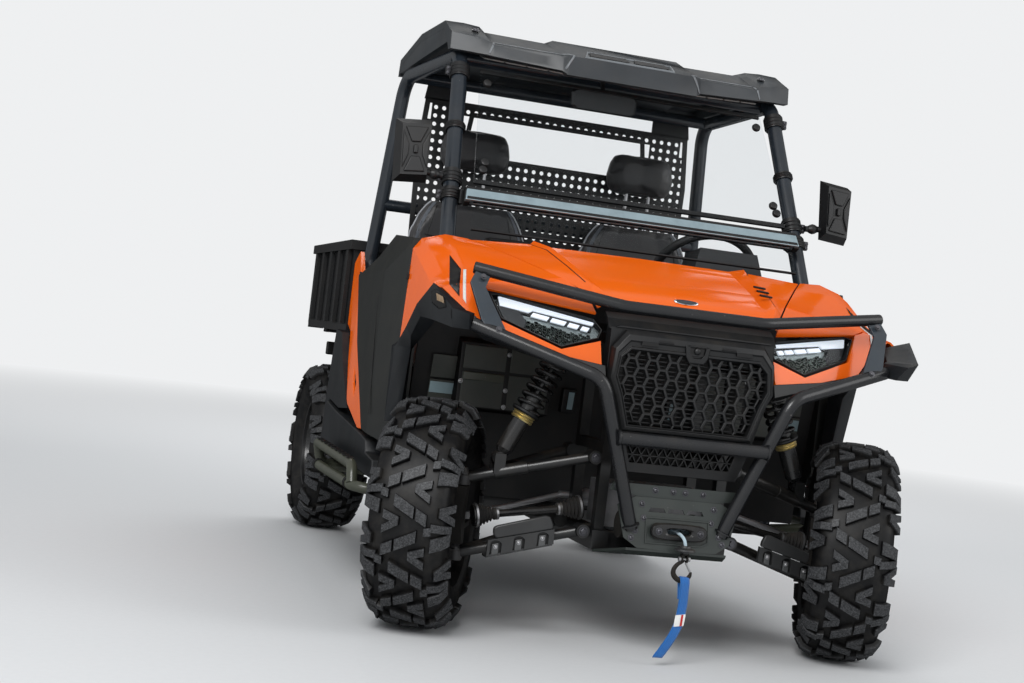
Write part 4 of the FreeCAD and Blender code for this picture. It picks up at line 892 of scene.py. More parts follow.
def tyre_mesh(width):
    """A whole tyre about the X axis: carcass, side ribs and tread."""
    tread = TREAD.run(tread_pitch(width), {"Pitches": PITCHES}, "tread")
    bm = bmesh.new()
    bm.from_mesh(tread)
    layer = bm.verts.layers.float.get("lug") or bm.verts.layers.float.new("lug")
    half = Carcass(width).half
    line = [(-x, r) for x, r in reversed(half)] + half[1:]
    line = line + [(line[-1][0] - 0.004, BEAD_RADIUS + 0.0018),
                   (-line[-1][0] + 0.004, BEAD_RADIUS + 0.0018)]
    ribbed = [(x * (1.0128 if BEAD_RADIUS + 0.020 < r < BEAD_RADIUS + 0.026 else 1.0), r) for x, r in line]
    rows = add_loft(bm, [[(x, r * c, r * s) for x, r in ribbed] for c, s in circle(TYRE_STEPS)], "joined")
    for row in rows:
        for vert, (_, r) in zip(row, line):
            vert[layer] = 0.30 if r < TYRE_RADIUS - 0.07 else 0.0
    return mesh_from(bm, "tyre")


def node_middle(node):
    low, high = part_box(node)
    return (low + high) / 2


STEER_REST = math.radians(-23.0)


def wheel_matrix(axle, hand):
    """The place and turn of a wheel whose outer side looks along its own X."""
    centre = node_middle("rim_%s_%s" % (axle, hand))
    half_turn = 0.0 if hand == "left" else math.pi
    steer = STEER_REST if axle == "front" else 0.0
    return Matrix.Translation(centre) @ Matrix.Rotation(steer + half_turn, 4, "Z")


def tyres():
    """One tyre's mesh on each of the four wheels."""
    shape = tyre_mesh(TYRE_WIDTH)
    for axle in ("front", "rear"):
        for hand in ("left", "right"):
            mesh = shape.copy()
            mesh.transform(wheel_matrix(axle, hand))
            piece = as_piece("tread_%s_%s" % (axle, hand), mesh, TYRE, "wheel_%s_%s" % (axle, hand))
            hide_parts("tyre_%s_%s" % (axle, hand))


tyres()

# Ways to give a shape in millimetres


def block(x0, x1, y0, y1, z0, z1):
    """A squared block, as an outline and its push."""
    return [(x0, y0, z0), (x1, y0, z0), (x1, y1, z0), (x0, y1, z0)], (0, 0, z1 - z0)


def cross(outline, y0, y1):
    """An outline of (x, z) points between two y planes."""
    return [(x, y0, z) for x, z in outline], (0, y1 - y0, 0)


def stepped(*levels):
    """A ring's section: outlines of (x, z) points, each at its own y."""
    return [[(x, y, z) for x, z in outline] for outline, y in levels]


def side(outline, x0, x1):
    """An outline of (y, z) points between two x planes."""
    return [(x0, y, z) for y, z in outline], (x1 - x0, 0, 0)


def strip(x0, x1, foot, head):
    """A rectangle between two x planes, from one (y, z) place up to another."""
    return [(x0, *foot), (x1, *foot), (x1, *head), (x0, *head)]


NOSE_SWEEP = 0.227
NOSE_RAKE = 0.48
NOSE_FOOT = -1758


def nose_at(x, z, proud=0.0):
    """A place on the raked front of the body, in millimetres."""
    slope = Vector((math.copysign(NOSE_SWEEP, x), -1.0, NOSE_RAKE)).normalized()
    return Vector((x, NOSE_FOOT + NOSE_SWEEP * abs(x) + NOSE_RAKE * z, z)) + slope * proud


def raked(outline, proud, depth):
    """An outline of (x, z) points on the left half of the raked front."""
    slope = Vector((NOSE_SWEEP, -1.0, NOSE_RAKE)).normalized()
    return [nose_at(x, z, proud) for x, z in outline], slope * -depth


MITRE_LIMIT = 0.35


def shrunk(outline, by):
    """A closed flat outline moved inwards, with mitred corners."""
    onwards = outline[1:] + outline[:1]
    turn = math.copysign(1.0, sum(x0 * z1 - x1 * z0 for (x0, z0), (x1, z1) in zip(outline, onwards)))
    moved = []
    for before, corner, after in zip(outline[-1:] + outline[:-1], outline, onwards):
        first = (Vector(corner) - Vector(before)).normalized()
        second = (Vector(after) - Vector(corner)).normalized()
        bisector = (first.orthogonal() + second.orthogonal()).normalized()
        reach = by * turn / max(bisector.dot(second.orthogonal()), MITRE_LIMIT)
        moved.append(tuple(Vector(corner) + bisector * reach))
    return moved


def made(name, finish, plates=(), turned=(), rings=(), both=False, radius=0.0, body="root",
         hand=1):
    """One piece of plates, turned parts and closed rings of rings, in millimetres."""
    bm = bmesh.new()
    for outline, push in plates:
        add_prism(bm, metres(outline), Vector(push) * MM)
    for profile, centre, axis in turned:
        add_lathe(bm, [(along * MM, reach * MM) for along, reach in profile], Vector(centre) * MM, axis)
    for loops in rings:
        add_loft(bm, [metres(loop) for loop in loops], "joined")
    if both:
        mirrored(bm)
    for vert in bm.verts:
        vert.co.x *= hand
    piece = as_piece(name, mesh_from(bm, name), finish, body)
    if radius:
        rounded(piece, radius)
    return piece


def on_line(start, end, share):
    """A place between two others."""
    return Vector(start) + (Vector(end) - Vector(start)) * share


# Painted body

dressed("hood", ORANGE, 0.0026)
dressed("front_fenders", ORANGE, 0.0026)
dressed("quarter_panels", ORANGE, 0.003, 3)


def quarter_vents():
    """Black ducts in the recesses of the quarter panels, with two slats each."""
    duct = [(-211, 640), (-153, 685), (-153, 643), (-199, 597)]
    plates = [side(duct, 732.5, 737.5)]
    for low in (10, 26):
        plates.append(([(736, -206, 624 + low), (736, -156, 663 + low - 6), (736, -156, 657 + low - 6),
                        (736, -206, 618 + low)], (4, 0, 0)))
    made("quarter_vents", BLACK_MARK, plates=plates, both=True, radius=0.0012)


quarter_vents()


def hood_vents():
    """Three slits with dark lips on the left spine, near the front."""
    slits = []
    for k in range(3):
        y = -1075 - 40 * k
        x = 291 - 6 * k
        z = 1091 - 13.5 * k
        outline = [(x - 17, y + 16, z - 1), (x + 12, y - 2, z - 4), (x + 15, y - 9, z - 6),
                   (x - 15, y + 8, z - 3)]
        slits.append((outline, (0, -1.5, 6)))
    made("hood_vents", BLACK_MARK, plates=slits, radius=0.0012, body="hood")


hood_vents()

# Lamps

LAMP = [(568, 968), (536, 902), (372, 842), (268, 878), (256, 903), (280, 933), (536, 973)]
LAMP_TOP = (Vector((280, 933)), Vector((536, 973)))
CELL_WIDE, CELL_TALL = 11, 8.6


def below_lamp_top(share, drop):
    """An (x, z) place at a distance along a lamp's top edge, and below it."""
    start, end = LAMP_TOP
    along = (end - start).normalized()
    place = start + along * share + Vector((along.y, -along.x)) * drop
    return tuple(place)


def light_strip(first, last, upper, lower, lean):
    """A leaning strip along a lamp's top edge, from one distance to another."""
    corners = ((first, upper), (last, upper), (last + lean, lower), (first + lean, lower))
    return [below_lamp_top(share, drop) for share, drop in corners]


def headlamps():
    """Two lamp units of bezel, bowl, reflector cells, light bars, panels and lens; the tail lamps."""
    inner = shrunk(LAMP, 6)
    bezel = [[nose_at(x, z, 0) for x, z in LAMP], [nose_at(x, z, 4) for x, z in shrunk(LAMP, 2)],
             [nose_at(x, z, 4) for x, z in shrunk(LAMP, 4)], [nose_at(x, z, -2) for x, z in inner],
             [nose_at(x, z, -40) for x, z in inner], [nose_at(x, z, -62) for x, z in LAMP]]
    made("lamp_bezels", BLACK, rings=[bezel], both=True)
    made("lamp_bowls", BOWL, plates=[raked(shrunk(LAMP, 5.5), -20, 30)], both=True)
    cells = []
    for column in range(18):
        x = 290 + column * CELL_WIDE
        floor = max(842 - (x - 372) * 0.346, 842 + (x - 372) * 0.366) + 11
        roof = 933 + (x - 280) * 0.156 - 47
        for row in range(max(int((roof - floor) / CELL_TALL), 1)):
            z = floor + CELL_TALL * row
            square = [(x, z), (x + 10, z + 1.3), (x + 10, z + 9.0), (x, z + 7.7)]
            small = shrunk(square, 2.4)
            cells.append([[nose_at(a, c, -9) for a, c in square], [nose_at(a, c, -15) for a, c in small],
                          [nose_at(a, c, -25) for a, c in small], [nose_at(a, c, -25) for a, c in square]])
    made("lamp_reflectors", REFLECTOR, rings=cells, both=True)
    bar = ((-4, 8), (266, 6), (256, 31), (176, 29), (166, 20), (0, 17))
    bars = [raked([below_lamp_top(share, drop) for share, drop in bar], -5, 8)]
    for first, last in ((118, 164), (70, 110), (34, 62), (6, 26)):
        bars.append(raked(light_strip(first, last, 25, 37, 6), -7, 8))
    made("light_bars", LIGHT, plates=bars, both=True, radius=0.0012)
    panel = [(552, 955), (527, 906), (474, 887), (462, 902), (488, 944)]
    ledge = light_strip(0, 266, 6, 34, 2)
    made("lamp_side_panels", FLARE, plates=[raked(panel, -9, 20), raked(ledge, -13, 10)], both=True,
         radius=0.003)
    made("lamp_lenses", LENS, plates=[raked(shrunk(LAMP, 4.5), 2.6, 2.2)], both=True, radius=0.0008)
    made("tail_lamp_cases", BLACK, plates=[block(560, 640, 1150, 1184, 690, 745)], both=True, radius=0.005)
    made("tail_lamp_lenses", RED_LENS, plates=[block(565, 635, 1180, 1190, 716, 741)], both=True,
         radius=0.003)
    made("turn_lenses", AMBER, plates=[block(565, 635, 1180, 1189, 695, 713)], both=True, radius=0.003)


headlamps()
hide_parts("lamps")

# Grille

SURROUND = [(-197, 634), (197, 634), (226, 728), (250, 775), (244, 864), (207, 912), (-207, 912),
            (-244, 864), (-250, 775), (-226, 728)]
OPENING = [(-178, 654), (178, 654), (204, 738), (224, 784), (218, 834), (192, 858), (-192, 858),
           (-218, 834), (-224, 784), (-204, 738)]
CELL_REACH, CELL_FLAT, CELL_HIGH = 21.2, 9.8, 25.0


def inside(outline, x, z, margin):
    """Whether a place lies in a convex outline, with a margin."""
    for (x0, z0), (x1, z1) in zip(outline, outline[1:] + outline[:1]):
        run = math.hypot(x1 - x0, z1 - z0)
        if ((x1 - x0) * (z - z0) - (z1 - z0) * (x - x0)) / run < -margin:
            return False
    return True


def hexagon_cell():
    """One cell of the grille: six walls with chamfered front edges."""
    bm = bmesh.new()
    loops = []
    for wall, depth in ((0, 0), (0, 7.0), (2.4, 7.6), (4.0, 6.0), (5.2, 0)):
        reach, flat, high = CELL_REACH - wall * 1.18, CELL_FLAT - wall * 0.62, CELL_HIGH - wall
        outline = [(reach, 0), (flat, high), (-flat, high), (-reach, 0), (-flat, -high), (flat, -high)]
        loops.append([at(x, z, depth) for x, z in outline])
    add_loft(bm, loops, "joined")
    return template("hexagon_cell", bm)


SLAT_STEP = 12.4
CELL_MIDDLE = 762


def grille():
    """The grille's moulded surround, slats, honeycomb and round sensor."""
    loops = []
    for share, y in ((0.0, -1321), (0.0, -1336), (0.20, -1350), (0.48, -1354), (0.56, -1350), (0.78, -1349),
                     (0.83, -1353), (0.93, -1353), (1.0, -1347), (1.0, -1324)):
        loops.append([(x0 + (x1 - x0) * share, y, z0 + (z1 - z0) * share)
                      for (x0, z0), (x1, z1) in zip(SURROUND, OPENING)])
    frame_piece = made("grille_surround", BLACK, rings=[loops], radius=0.0015)
    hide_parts("grille")
    slats = []
    for z in (660 + SLAT_STEP * step for step in range(16)):
        half = min(196 + (z - 660) * 0.30, 236, 236 - (z - 840) * 0.9)
        slats.append(block(-half, half, -1334, -1323, z, z + 4))
    made("grille_slats", BLACK, plates=slats, radius=0.001)
    places = []
    step_x, step_z = CELL_REACH + CELL_FLAT, 2 * CELL_HIGH
    for column in range(-7, 8):
        for row in range(-4, 5):
            x = column * step_x
            z = CELL_MIDDLE + row * step_z + (step_z / 2 if column % 2 else 0)
            if inside(OPENING, x, z, 9.0):
                places.append((at(x, -1339, z), (0, -1, 0)))
    cells = copies_pattern("grille_cells", BLACK, hexagon_cell())
    mesh = cells.run(facing_points(places), {"Scale": 1.0}, "grille_mesh")
    as_piece("grille_mesh", mesh, None)
    dip = [(-38, 890), (-33, 858), (-22, 841), (22, 841), (33, 858), (38, 890)]
    notch = [(-25, 892), (-21, 866), (-12, 856), (12, 856), (21, 866), (25, 892)]
    loops = stepped((dip, -1338), (dip, -1355), (shrunk(dip, 3), -1357), (notch, -1357), (notch, -1338))
    made("sensor_frame", BLACK, rings=[loops], radius=0.001)
    made("sensor_plate", BLACK_MARK, plates=[cross(notch, -1352, -1338)], radius=0.002)
    ring = [(0, 9.5), (3, 9.5), (4.5, 8.5), (6.5, 6), (7.5, 3), (7.8, 0.2)]
    made("sensor", BLACK, turned=[(ring, (0, -1352, 876), (0, -1, 0))])
    slot = cross([(118, 875), (168, 875), (166, 886), (118, 886)], -1355.5, -1350)
    made("frame_slots", BLACK_MARK, plates=[slot], both=True, radius=0.001)
    slots = [cross([(x, 888), (x + 46, 888), (x + 42, 894), (x + 4, 894)], -1356, -1348)
             for x in (-118, 72)]
    made("surround_slots", BLACK_MARK, plates=slots, radius=0.0008)


grille()


def fascia():
    """The dark nose with its lower grille, the grille's lip and a crease across the nose."""
    dressed("front_fascia", BLACK, 0.003)
    ribs = []
    for x in range(-156, 156, 26):
        for foot, head, z0, z1 in ((x, x + 13, 545, 569), (x + 26, x + 13, 545, 569),
                                   (x + 13, x + 26, 571, 595), (x + 13, x, 571, 595)):
            rib = [(foot - 2, z0), (foot + 2, z0), (head + 2, z1), (head - 2, z1)]
            ribs.append(cross(rib, -1317, -1303))
    ribs.append(block(-160, 160, -1315, -1300, 568, 572))
    made("lower_grille_ribs", BLACK, plates=ribs, radius=0.0008)
    lip = [(-196, 598), (196, 598), (203, 612), (-203, 612)]
    made("grille_lip", BLACK, plates=[cross(lip, -1336, -1316)], radius=0.003)
    crease = [(-238, 917), (238, 917), (226, 923), (-226, 923)]
    made("nose_crease", BLACK, plates=[cross(crease, -1324, -1310)], radius=0.002)


fascia()

# Bull bar

BAR_FOOT = (135, -1350, 366)
BAR_KNEE = (283, -1405, 772)
TOP_BAR_BEND = (214, -1312, 977)
TOP_BAR_END = (627, -1205, 1035)


def bull_bar():
    """The bar with its end caps, corner plates, weld beads, feet and bolts."""
    painted("front_bumper", BAR)
    cap = [(-3, 16.6), (1.5, 16.8), (3.5, 13.5), (3.2, 9), (4.2, 6), (4.2, 0.2)]
    along = Vector(TOP_BAR_END) - Vector(TOP_BAR_BEND)
    made("bar_caps", BLACK, turned=[(cap, TOP_BAR_END, along)], both=True)
    corners = [(642, 994), (624, 1030), (577, 1036), (600, 984), (540, 862), (590, 862), (612, 893)]
    grown = shrunk(corners, -0.9)
    plate = [(x, -1214 + 0.54 * (z - 1035), z) for x, z in grown]
    made("bar_brackets", BRACKET, plates=[(plate, (0, 8.6, -4.2))], both=True, radius=0.0016)
    leg = Vector(BAR_KNEE) - Vector(BAR_FOOT)
    bead = [(-4, 19.2), (-2, 22), (2, 22.6), (5, 19.2)]
    made("bar_welds", BAR, turned=[(bead, (221, -1407, 618), (1, 0, 0))], both=True)
    foot = [(-2, 21), (-2, 27), (2, 27), (3, 20)]
    made("bar_feet", BAR, turned=[(foot, on_line(BAR_FOOT, BAR_KNEE, 0.03), leg)], both=True)
    places = [(at(608, -1237, 1012), (0, -1, 0.5)), (at(567, -1312, 872), (0, -1, 0.5))]
    bolts("bracket_bolts", both_sides(places), 0.0062, pattern=HEX_BOLTS)


bull_bar()

# Winch

STRAP_HALF = 13.5
UV_PER_METRE = 10
HOOK_Y = -1404
DRUM_Z = 370
WINCH_LEAN = 0.2
CORNER_POWER = 0.62


def hung_strap():
    """The blue strap: a loop over the hook's bow, sewn, and one hanging tail."""
    middle = [(22, -1398, 190), (21, -1395, 212), (19, -1393, 234), (18, -1396, 247), (18, -1404, 253),
              (18, -1412, 247), (19, -1414, 234), (21, -1410, 212), (23, -1406, 186), (23, -1403, 160),
              (19, -1404, 128), (8, -1406, 98), (-10, -1404, 62), (-32, -1399, 24)]
    line = smooth_line(middle, 5)
    lengths = [0.0]
    for before, after in zip(line, line[1:]):
        lengths.append(lengths[-1] + (Vector(after) - Vector(before)).length)
    bm = bmesh.new()
    uv = bm.loops.layers.uv.new("cloth")
    rows = []
    for place, after in zip(line, line[1:] + [line[-1]]):
        run = Vector(after) - Vector(place)
        lean = Vector((run.z, 0, -run.x)).normalized() if abs(run.x) > 1e-4 else Vector((1, 0, 0))
        lean = lean if lean.x > 0 else -lean
        lean = (lean * 0.5 + Vector((0.5, 0, 0))).normalized()
        rows.append([bm.verts.new((Vector(place) + lean * (STRAP_HALF * s)) * MM)
                     for s in (-1, -0.5, 0, 0.5, 1)])
    for index, (row, after) in enumerate(zip(rows, rows[1:])):
        for k in range(4):
            face = bm.faces.new((row[k], row[k + 1], after[k + 1], after[k]))
            across = (k * STRAP_HALF / 2, (k + 1) * STRAP_HALF / 2)
            spans = (lengths[index], lengths[index + 1])
            for loop, (u, v) in zip(face.loops, ((0, 0), (1, 0), (1, 1), (0, 1))):
                loop[uv].uv = (across[u] * MM * UV_PER_METRE, spans[v] * MM * UV_PER_METRE)
    mesh = bpy.data.meshes.new("blue_strap")
    bm.to_mesh(mesh)
    bm.free()
    piece = as_piece("blue_strap", mesh, BLUE, "root")
    thick = piece.modifiers.new("thickness", "SOLIDIFY")
    thick.thickness = 0.0022
    thick.offset = 0.0
    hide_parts("hook_strap")
    tag = [(5, -1407.5, 146), (35, -1407.5, 150), (32, -1408.5, 118), (3, -1408.5, 114)]
    made("strap_tag", WHITE_MARK, plates=[(tag, (0, 2.4, 0))], radius=0.0004)
    band = [(22, -1408.4, 148), (28, -1408.4, 149), (26, -1409.4, 118), (20, -1409.4, 117)]
    made("strap_tag_band", RED_LENS, plates=[(band, (0, 1.4, 0))])


def hook():
    """The rope's end, its rubber stop, the clevis, the hook and its latch."""
    rope = [at(0, -1318, 368), at(1, -1350, 368), at(6, -1384, 364), at(11, -1401, 350), at(12, -1404, 334)]
    as_piece("winch_rope", tube_mesh("winch_rope", rope, 0.0046), ROPE)
    stop = [(0, 5), (0, 14), (5, 17), (9, 28), (13, 29), (16, 26), (17, 12), (22, 11), (22, 5)]
    made("rope_stopper", BOOT, turned=[(stop, (12, HOOK_Y, 339), (0, 0, -1))])
    cheek = [(-1413, 318), (-1395, 318), (-1394, 300), (-1398, 292), (-1410, 292), (-1414, 300)]
    cheeks = [side(cheek, 2, 7), side(cheek, 17, 22), block(2, 22, -1412, -1396, 312, 320)]
    made("hook_clevis", IRON, plates=cheeks, radius=0.002)
    pin = [(-17, 3), (-17, 6.5), (-11, 7), (-11, 4.5), (11, 4.5), (11, 7), (17, 6.5), (17, 3)]
    made("hook_pin", STEEL, turned=[(pin, (12, HOOK_Y, 302), (1, 0, 0))])
    line = smooth_line([(12, 304), (8, 296), (-6, 286), (-15, 272), (-14, 257), (-3, 246), (12, 242),
                        (26, 247), (34, 257), (36, 268)], 5)
    stations = [(0.0, 5.0), (0.15, 5.5), (0.45, 7.5), (0.7, 7.5), (0.9, 5.5), (1.0, 3.0)]
    loops = []
    for index, (x, z) in enumerate(line):
        x0, z0 = line[max(index - 1, 0)]
        x1, z1 = line[min(index + 1, len(line) - 1)]
        across = Vector((z1 - z0, 0, x0 - x1)).normalized()
        share = index / (len(line) - 1)
        for (s0, r0), (s1, r1) in zip(stations, stations[1:]):
            if s0 <= share <= s1:
                radius = r0 + (r1 - r0) * (share - s0) / (s1 - s0)
        middle = Vector((x, HOOK_Y, z))
        loops.append([(middle + across * (radius * c) + Vector((0, radius * 0.85 * s, 0))) * MM
                      for c, s in circle(12)])
    piece = as_piece("hook_body", mesh_from(lofted(loops), "hook_body"), IRON)
    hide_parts("winch_hook")
    latch = [(16, 292), (20, 294), (36, 270), (32, 266)]
    made("hook_latch", STEEL, plates=[cross(latch, -1408, -1400)], radius=0.001)


def winch():
    """The winch on its leaning plate: bolts, wound rope, fairlead, hook and strap."""
    dressed("winch_plate", PLATE, 0.0012)
    places = [(at(x, -1363 + WINCH_LEAN * (z - 350), z), (0, -1, WINCH_LEAN))
              for x, z in ((108, 438), (101, 400), (126, 364), (136, 344))]
    places += [(at(x, -1343, z), (0, -1, 0)) for x, z in ((185, 482), (72, 478), (18, 478))]
    bolts("winch_plate_bolts", both_sides(places), 0.0072)
    painted("winch", IRON)
    coil = [(-66, 24)]
    for k in range(16):
        x = -64 + 8 * k
        coil += [(x, 33), (x + 2, 36.4), (x + 6, 36.4), (x + 8, 33)]
    coil.append((66, 24))
    made("winch_rope_drum", ROPE, turned=[(coil, (0, -1290, DRUM_Z), (1, 0, 0))])
    squared = [(math.copysign(abs(c) ** CORNER_POWER, c), math.copysign(abs(s) ** CORNER_POWER, s))
               for c, s in circle(40)]
    reaches = ((83, 23.5, -1366), (84, 24, -1374), (81, 21, -1380), (44, 12.5, -1381.5), (36, 9, -1378),
               (34, 8, -1366))
    lead = [[(reach_x * c, y, DRUM_Z + reach_z * s) for c, s in squared] for reach_x, reach_z, y in reaches]
    made("fairlead", RIM, rings=[lead], radius=0.0006)
    bolts("fairlead_bolts", both_sides([(at(62, -1380.5, DRUM_Z), (0, -1, 0))]), 0.0078)
    border = [(-96, 406), (96, 406), (96, 344), (70, 332), (-96, 332)]
    loops = [[(x, -1363 + WINCH_LEAN * (z - 350) - proud, z) for x, z in outline]
             for outline, proud in ((border, -1), (border, 3), (shrunk(border, 5), 3),
                                    (shrunk(border, 5), -1))]
    made("winch_plate_border", PLATE, rings=[loops], radius=0.001)
    hook()
    hung_strap()


winch()

# Running gear

FRONT_DAMPER = ((470, -1112, 508), (300, -1130, 880))
REAR_DAMPER = ((470, 890, 490), (300, 890, 696))


def spring_pattern():
    """A coil spring about the Z axis: a round wire along a spiral."""
    pattern = Pattern("coil_spring", [(label, "Float") for label in ("Turns", "Radius", "Height", "Wire")])
    radius = pattern.input("Radius")
    spiral = pattern.add("GeometryNodeCurveSpiral", {
        "Resolution": 26, "Rotations": pattern.input("Turns"), "Start Radius": radius, "End Radius": radius,
        "Height": pattern.input("Height")})
    ring = pattern.add("GeometryNodeCurvePrimitiveCircle",
                       {"Resolution": 10, "Radius": pattern.input("Wire")}, mode="RADIUS")
    wire = pattern.add("GeometryNodeCurveToMesh",
                       {"Curve": spiral, "Profile Curve": ring, "Fill Caps": True})
    pattern.close(wire, RIM)
    return pattern


SPRING = spring_pattern()


def dampers():
    """Four coil-over dampers: eyes, body, rod, collar, seats and spring."""
    lathes = {"body": [], "rod": [], "collar": [], "seat": []}
    bm = bmesh.new()
    eye = [(-18, 9), (-18, 18), (-15, 19.5), (15, 19.5), (18, 18), (18, 9)]
    eye_bolt = [(-23, 5), (-23, 8), (23, 8), (23, 5)]
    collar = [(-30, 24.5), (-30, 32), (-26, 34), (-23, 31), (-19, 34), (-15, 31), (-11, 34), (-8, 32),
              (-8, 24.5)]
    lower_seat = [(-9, 25), (-9, 40), (-5, 43), (0, 43), (2, 39), (2, 25)]
    upper_seat = [(-46, 12), (-46, 40), (-42, 43), (-36, 42), (-30, 26), (-30, 12)]
    bump_stop = [(-92, 10), (-88, 17), (-74, 19), (-66, 15), (-58, 19), (-47, 20), (-47, 10)]
    for low, top in (FRONT_DAMPER, REAR_DAMPER):
        low, top = Vector(low), Vector(top)
        along = (top - low).normalized()
        length = (top - low).length
        body_end = length * 0.52
        seat = length * 0.38
        body = [(18, 17), (28, 23), (32, 26), (seat - 30, 26), (seat - 28, 24), (body_end - 6, 24),
                (body_end, 20), (body_end, 9)]
        lathes["body"].append((body, low, along))
        lathes["body"] += [(eye, end, (0, 1, 0)) for end in (low, top)]
        rod = [(body_end - 4, 8), (length - 24, 8), (length - 20, 13), (length - 16, 13)]
        lathes["rod"].append((rod, low, along))
        lathes["rod"] += [(eye_bolt, end, (0, 1, 0)) for end in (low, top)]
        for kind, start, profile in (("collar", seat, collar), ("seat", seat, lower_seat),
                                     ("seat", length, upper_seat), ("seat", length, bump_stop)):
            lathes[kind].append(([(start + along_it, reach) for along_it, reach in profile], low, along))
        height = (length - 46 - seat - 2) * MM
        shape = {"Turns": 8.5 if length > 350 else 4.5, "Radius": 0.0350, "Height": height, "Wire": 0.0061}
        coil = SPRING.run(bpy.data.meshes.new("seed"), shape, "spring")
        place = (low + along * (seat + 2)) * MM
        coil.transform(Matrix.Translation(place) @ along.to_track_quat("Z", "Y").to_matrix().to_4x4())
        bm.from_mesh(coil)
    mirrored(bm)
    as_piece("springs", mesh_from(bm, "springs"), RIM)
    cases = made("damper_bodies", RIM, turned=lathes["body"], both=True)
    made("damper_rods", RIM, turned=lathes["rod"], both=True)
    made("spring_collars", ZINC, turned=lathes["collar"], both=True)
    made("spring_seats", BLACK, turned=lathes["seat"], both=True)
    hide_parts("dampers")


dampers()


def half_shafts():
    """Four drive shafts, each with two ribbed rubber boots and their clamps."""
    shafts, boots, clamps = [], [], []
    for inner, outer in (((190, -1090, 387), (524, -1090, 334)), ((190, 890, 387), (520, 890, 336))):
        inner, outer = Vector(inner), Vector(outer)
        along = (outer - inner).normalized()
        length = (outer - inner).length
        shafts.append(([(2, 10), (8, 33), (14, 33), (16, 11), (length / 2, 11), (length - 16, 11),
                        (length - 14, 31), (length - 4, 31), (length - 4, 10)], inner, along))
        for start, facing, base in ((inner + along * 10, along, 35), (outer - along * 8, -along, 34)):
            ribbed = [(0, base - 4), (2, base), (9, base), (10, base - 3)]
            for k in range(5):
                crest = base - 2 - 3.4 * k
                ribbed += [(13 + 10 * k, crest - 6), (18 + 10 * k, crest)]
            ribbed += [(63, 17), (72, 17), (73, 14)]
            boots.append((ribbed, start, facing))
            for place, radius in ((5.5, base + 0.8), (68, 17.8)):
                clamps.append(([(place - 3, radius - 1.5), (place - 3, radius), (place + 3, radius),
                                (place + 3, radius - 1.5)], start, facing))
    shaft = made("drive_shafts", RIM, turned=shafts, both=True)
    made("shaft_boots", BOOT, turned=boots, both=True)
    made("boot_clamps", STEEL, turned=clamps, both=True)
    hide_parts("half_shafts")


half_shafts()

GUARD_SWEEP = 0.109


def guard_face(x, z, proud):
    """A place on the front of the left lower arm's guard."""
    return x, -1224 + GUARD_SWEEP * (x - 331) - proud, z


def on_guard(outline, proud, deep):
    """A plate of (x, z) points on the front of the left lower arm's guard."""
    return [guard_face(x, z, proud) for x, z in outline], (0, deep, 0)


def suspension_fittings():
    """Ball joints, pivot bolts and the guards of the lower front arms."""
    painted("front_arms", FRAME)
    painted("rear_arms", FRAME)
    leg, end = Vector((216, -1200, 544)), Vector((560, -1090, 440))
    along = (end - leg).normalized()
    run = (end - leg).length
    sleeve = [(0.50 * run, 12), (0.50 * run, 19), (0.76 * run, 19), (0.76 * run, 12)]
    made("arm_sleeves", FRAME, turned=[(sleeve, leg, along)], both=True, radius=0.0015)
    boot = [(-20, 8), (-19, 20.5), (-12, 22), (8, 22), (13, 18), (22, 13), (30, 10), (30, 3)]
    joints = [(boot, (560, y, z), (0, 0, 1))
              for y, z in ((-1090, 440), (-1090, 224), (890, 425), (890, 232))]
    made("ball_joint_boots", BOOT, turned=joints, both=True)
    places = [(at(x, y - 1.5 * way, z), (0, way, 0)) for x, y, z, way in (
        (216, -1226, 544, -1), (228, -1226, 332, -1), (216, 754, 512, -1), (228, 754, 312, -1),
        (216, 1026, 512, 1), (228, 1026, 312, 1))]
    bolts("pivot_bolts", both_sides(places), 0.0095, pattern=HEX_BOLTS)
    guard_bolts = []
    face = [(500, 238)]
    for x in (476, 412, 346):
        low = 236 + (508 - x) * 0.2755
        face += [(x + 16, low - 4), (x + 16, low + 28)]
        face += [(x + 16 * math.cos(math.radians(a)), low + 29 + 12 * math.sin(math.radians(a)))
                 for a in range(20, 180, 20)]
        face += [(x - 16, low + 34), (x - 16, low + 5)]
        tongue = [(x + 10, low - 3), (x + 10, low + 29), (x - 9, low + 34), (x - 10, low + 3)]
        made("guard_tongues_%d" % x, GUARD_TONGUE, plates=[on_guard(tongue, 5, 8)], both=True, radius=0.003)
        guard_bolts.append((Vector(guard_face(x, low + 22, 4.6)) * MM, (0, -1, 0)))
        outline = [(x + 18, low + 2), (x + 18, low + 44), (x - 18, low + 49), (x - 18, low + 9)]
        # The recesses' backs take the darker black plastic as painted shade.
        made("guard_backs_%d" % x, BLACK, plates=[on_guard(outline, -3, 6)], both=True)
    face += [(314, 291), (316, 333), (500, 284)]
    under = [(500, 241), (316, 293), (316, 286), (500, 234)]
    plates = [on_guard(face, 8, 12), on_guard(under, 4, 44)]
    guards = made("guard_faces", GUARD_CAP, plates=plates, both=True, radius=0.0018)
    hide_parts("arm_guards")
    cap = [(488, 320), (478, 327), (346, 368), (331, 367), (321, 346), (320, 333), (476, 291), (486, 300)]
    made("guard_caps", GUARD_CAP, plates=[on_guard(cap, 10, 16)], both=True, radius=0.005)
    bolts("guard_bolts", both_sides(guard_bolts), 0.0048, pattern=STEEL_BOLTS)


suspension_fittings()


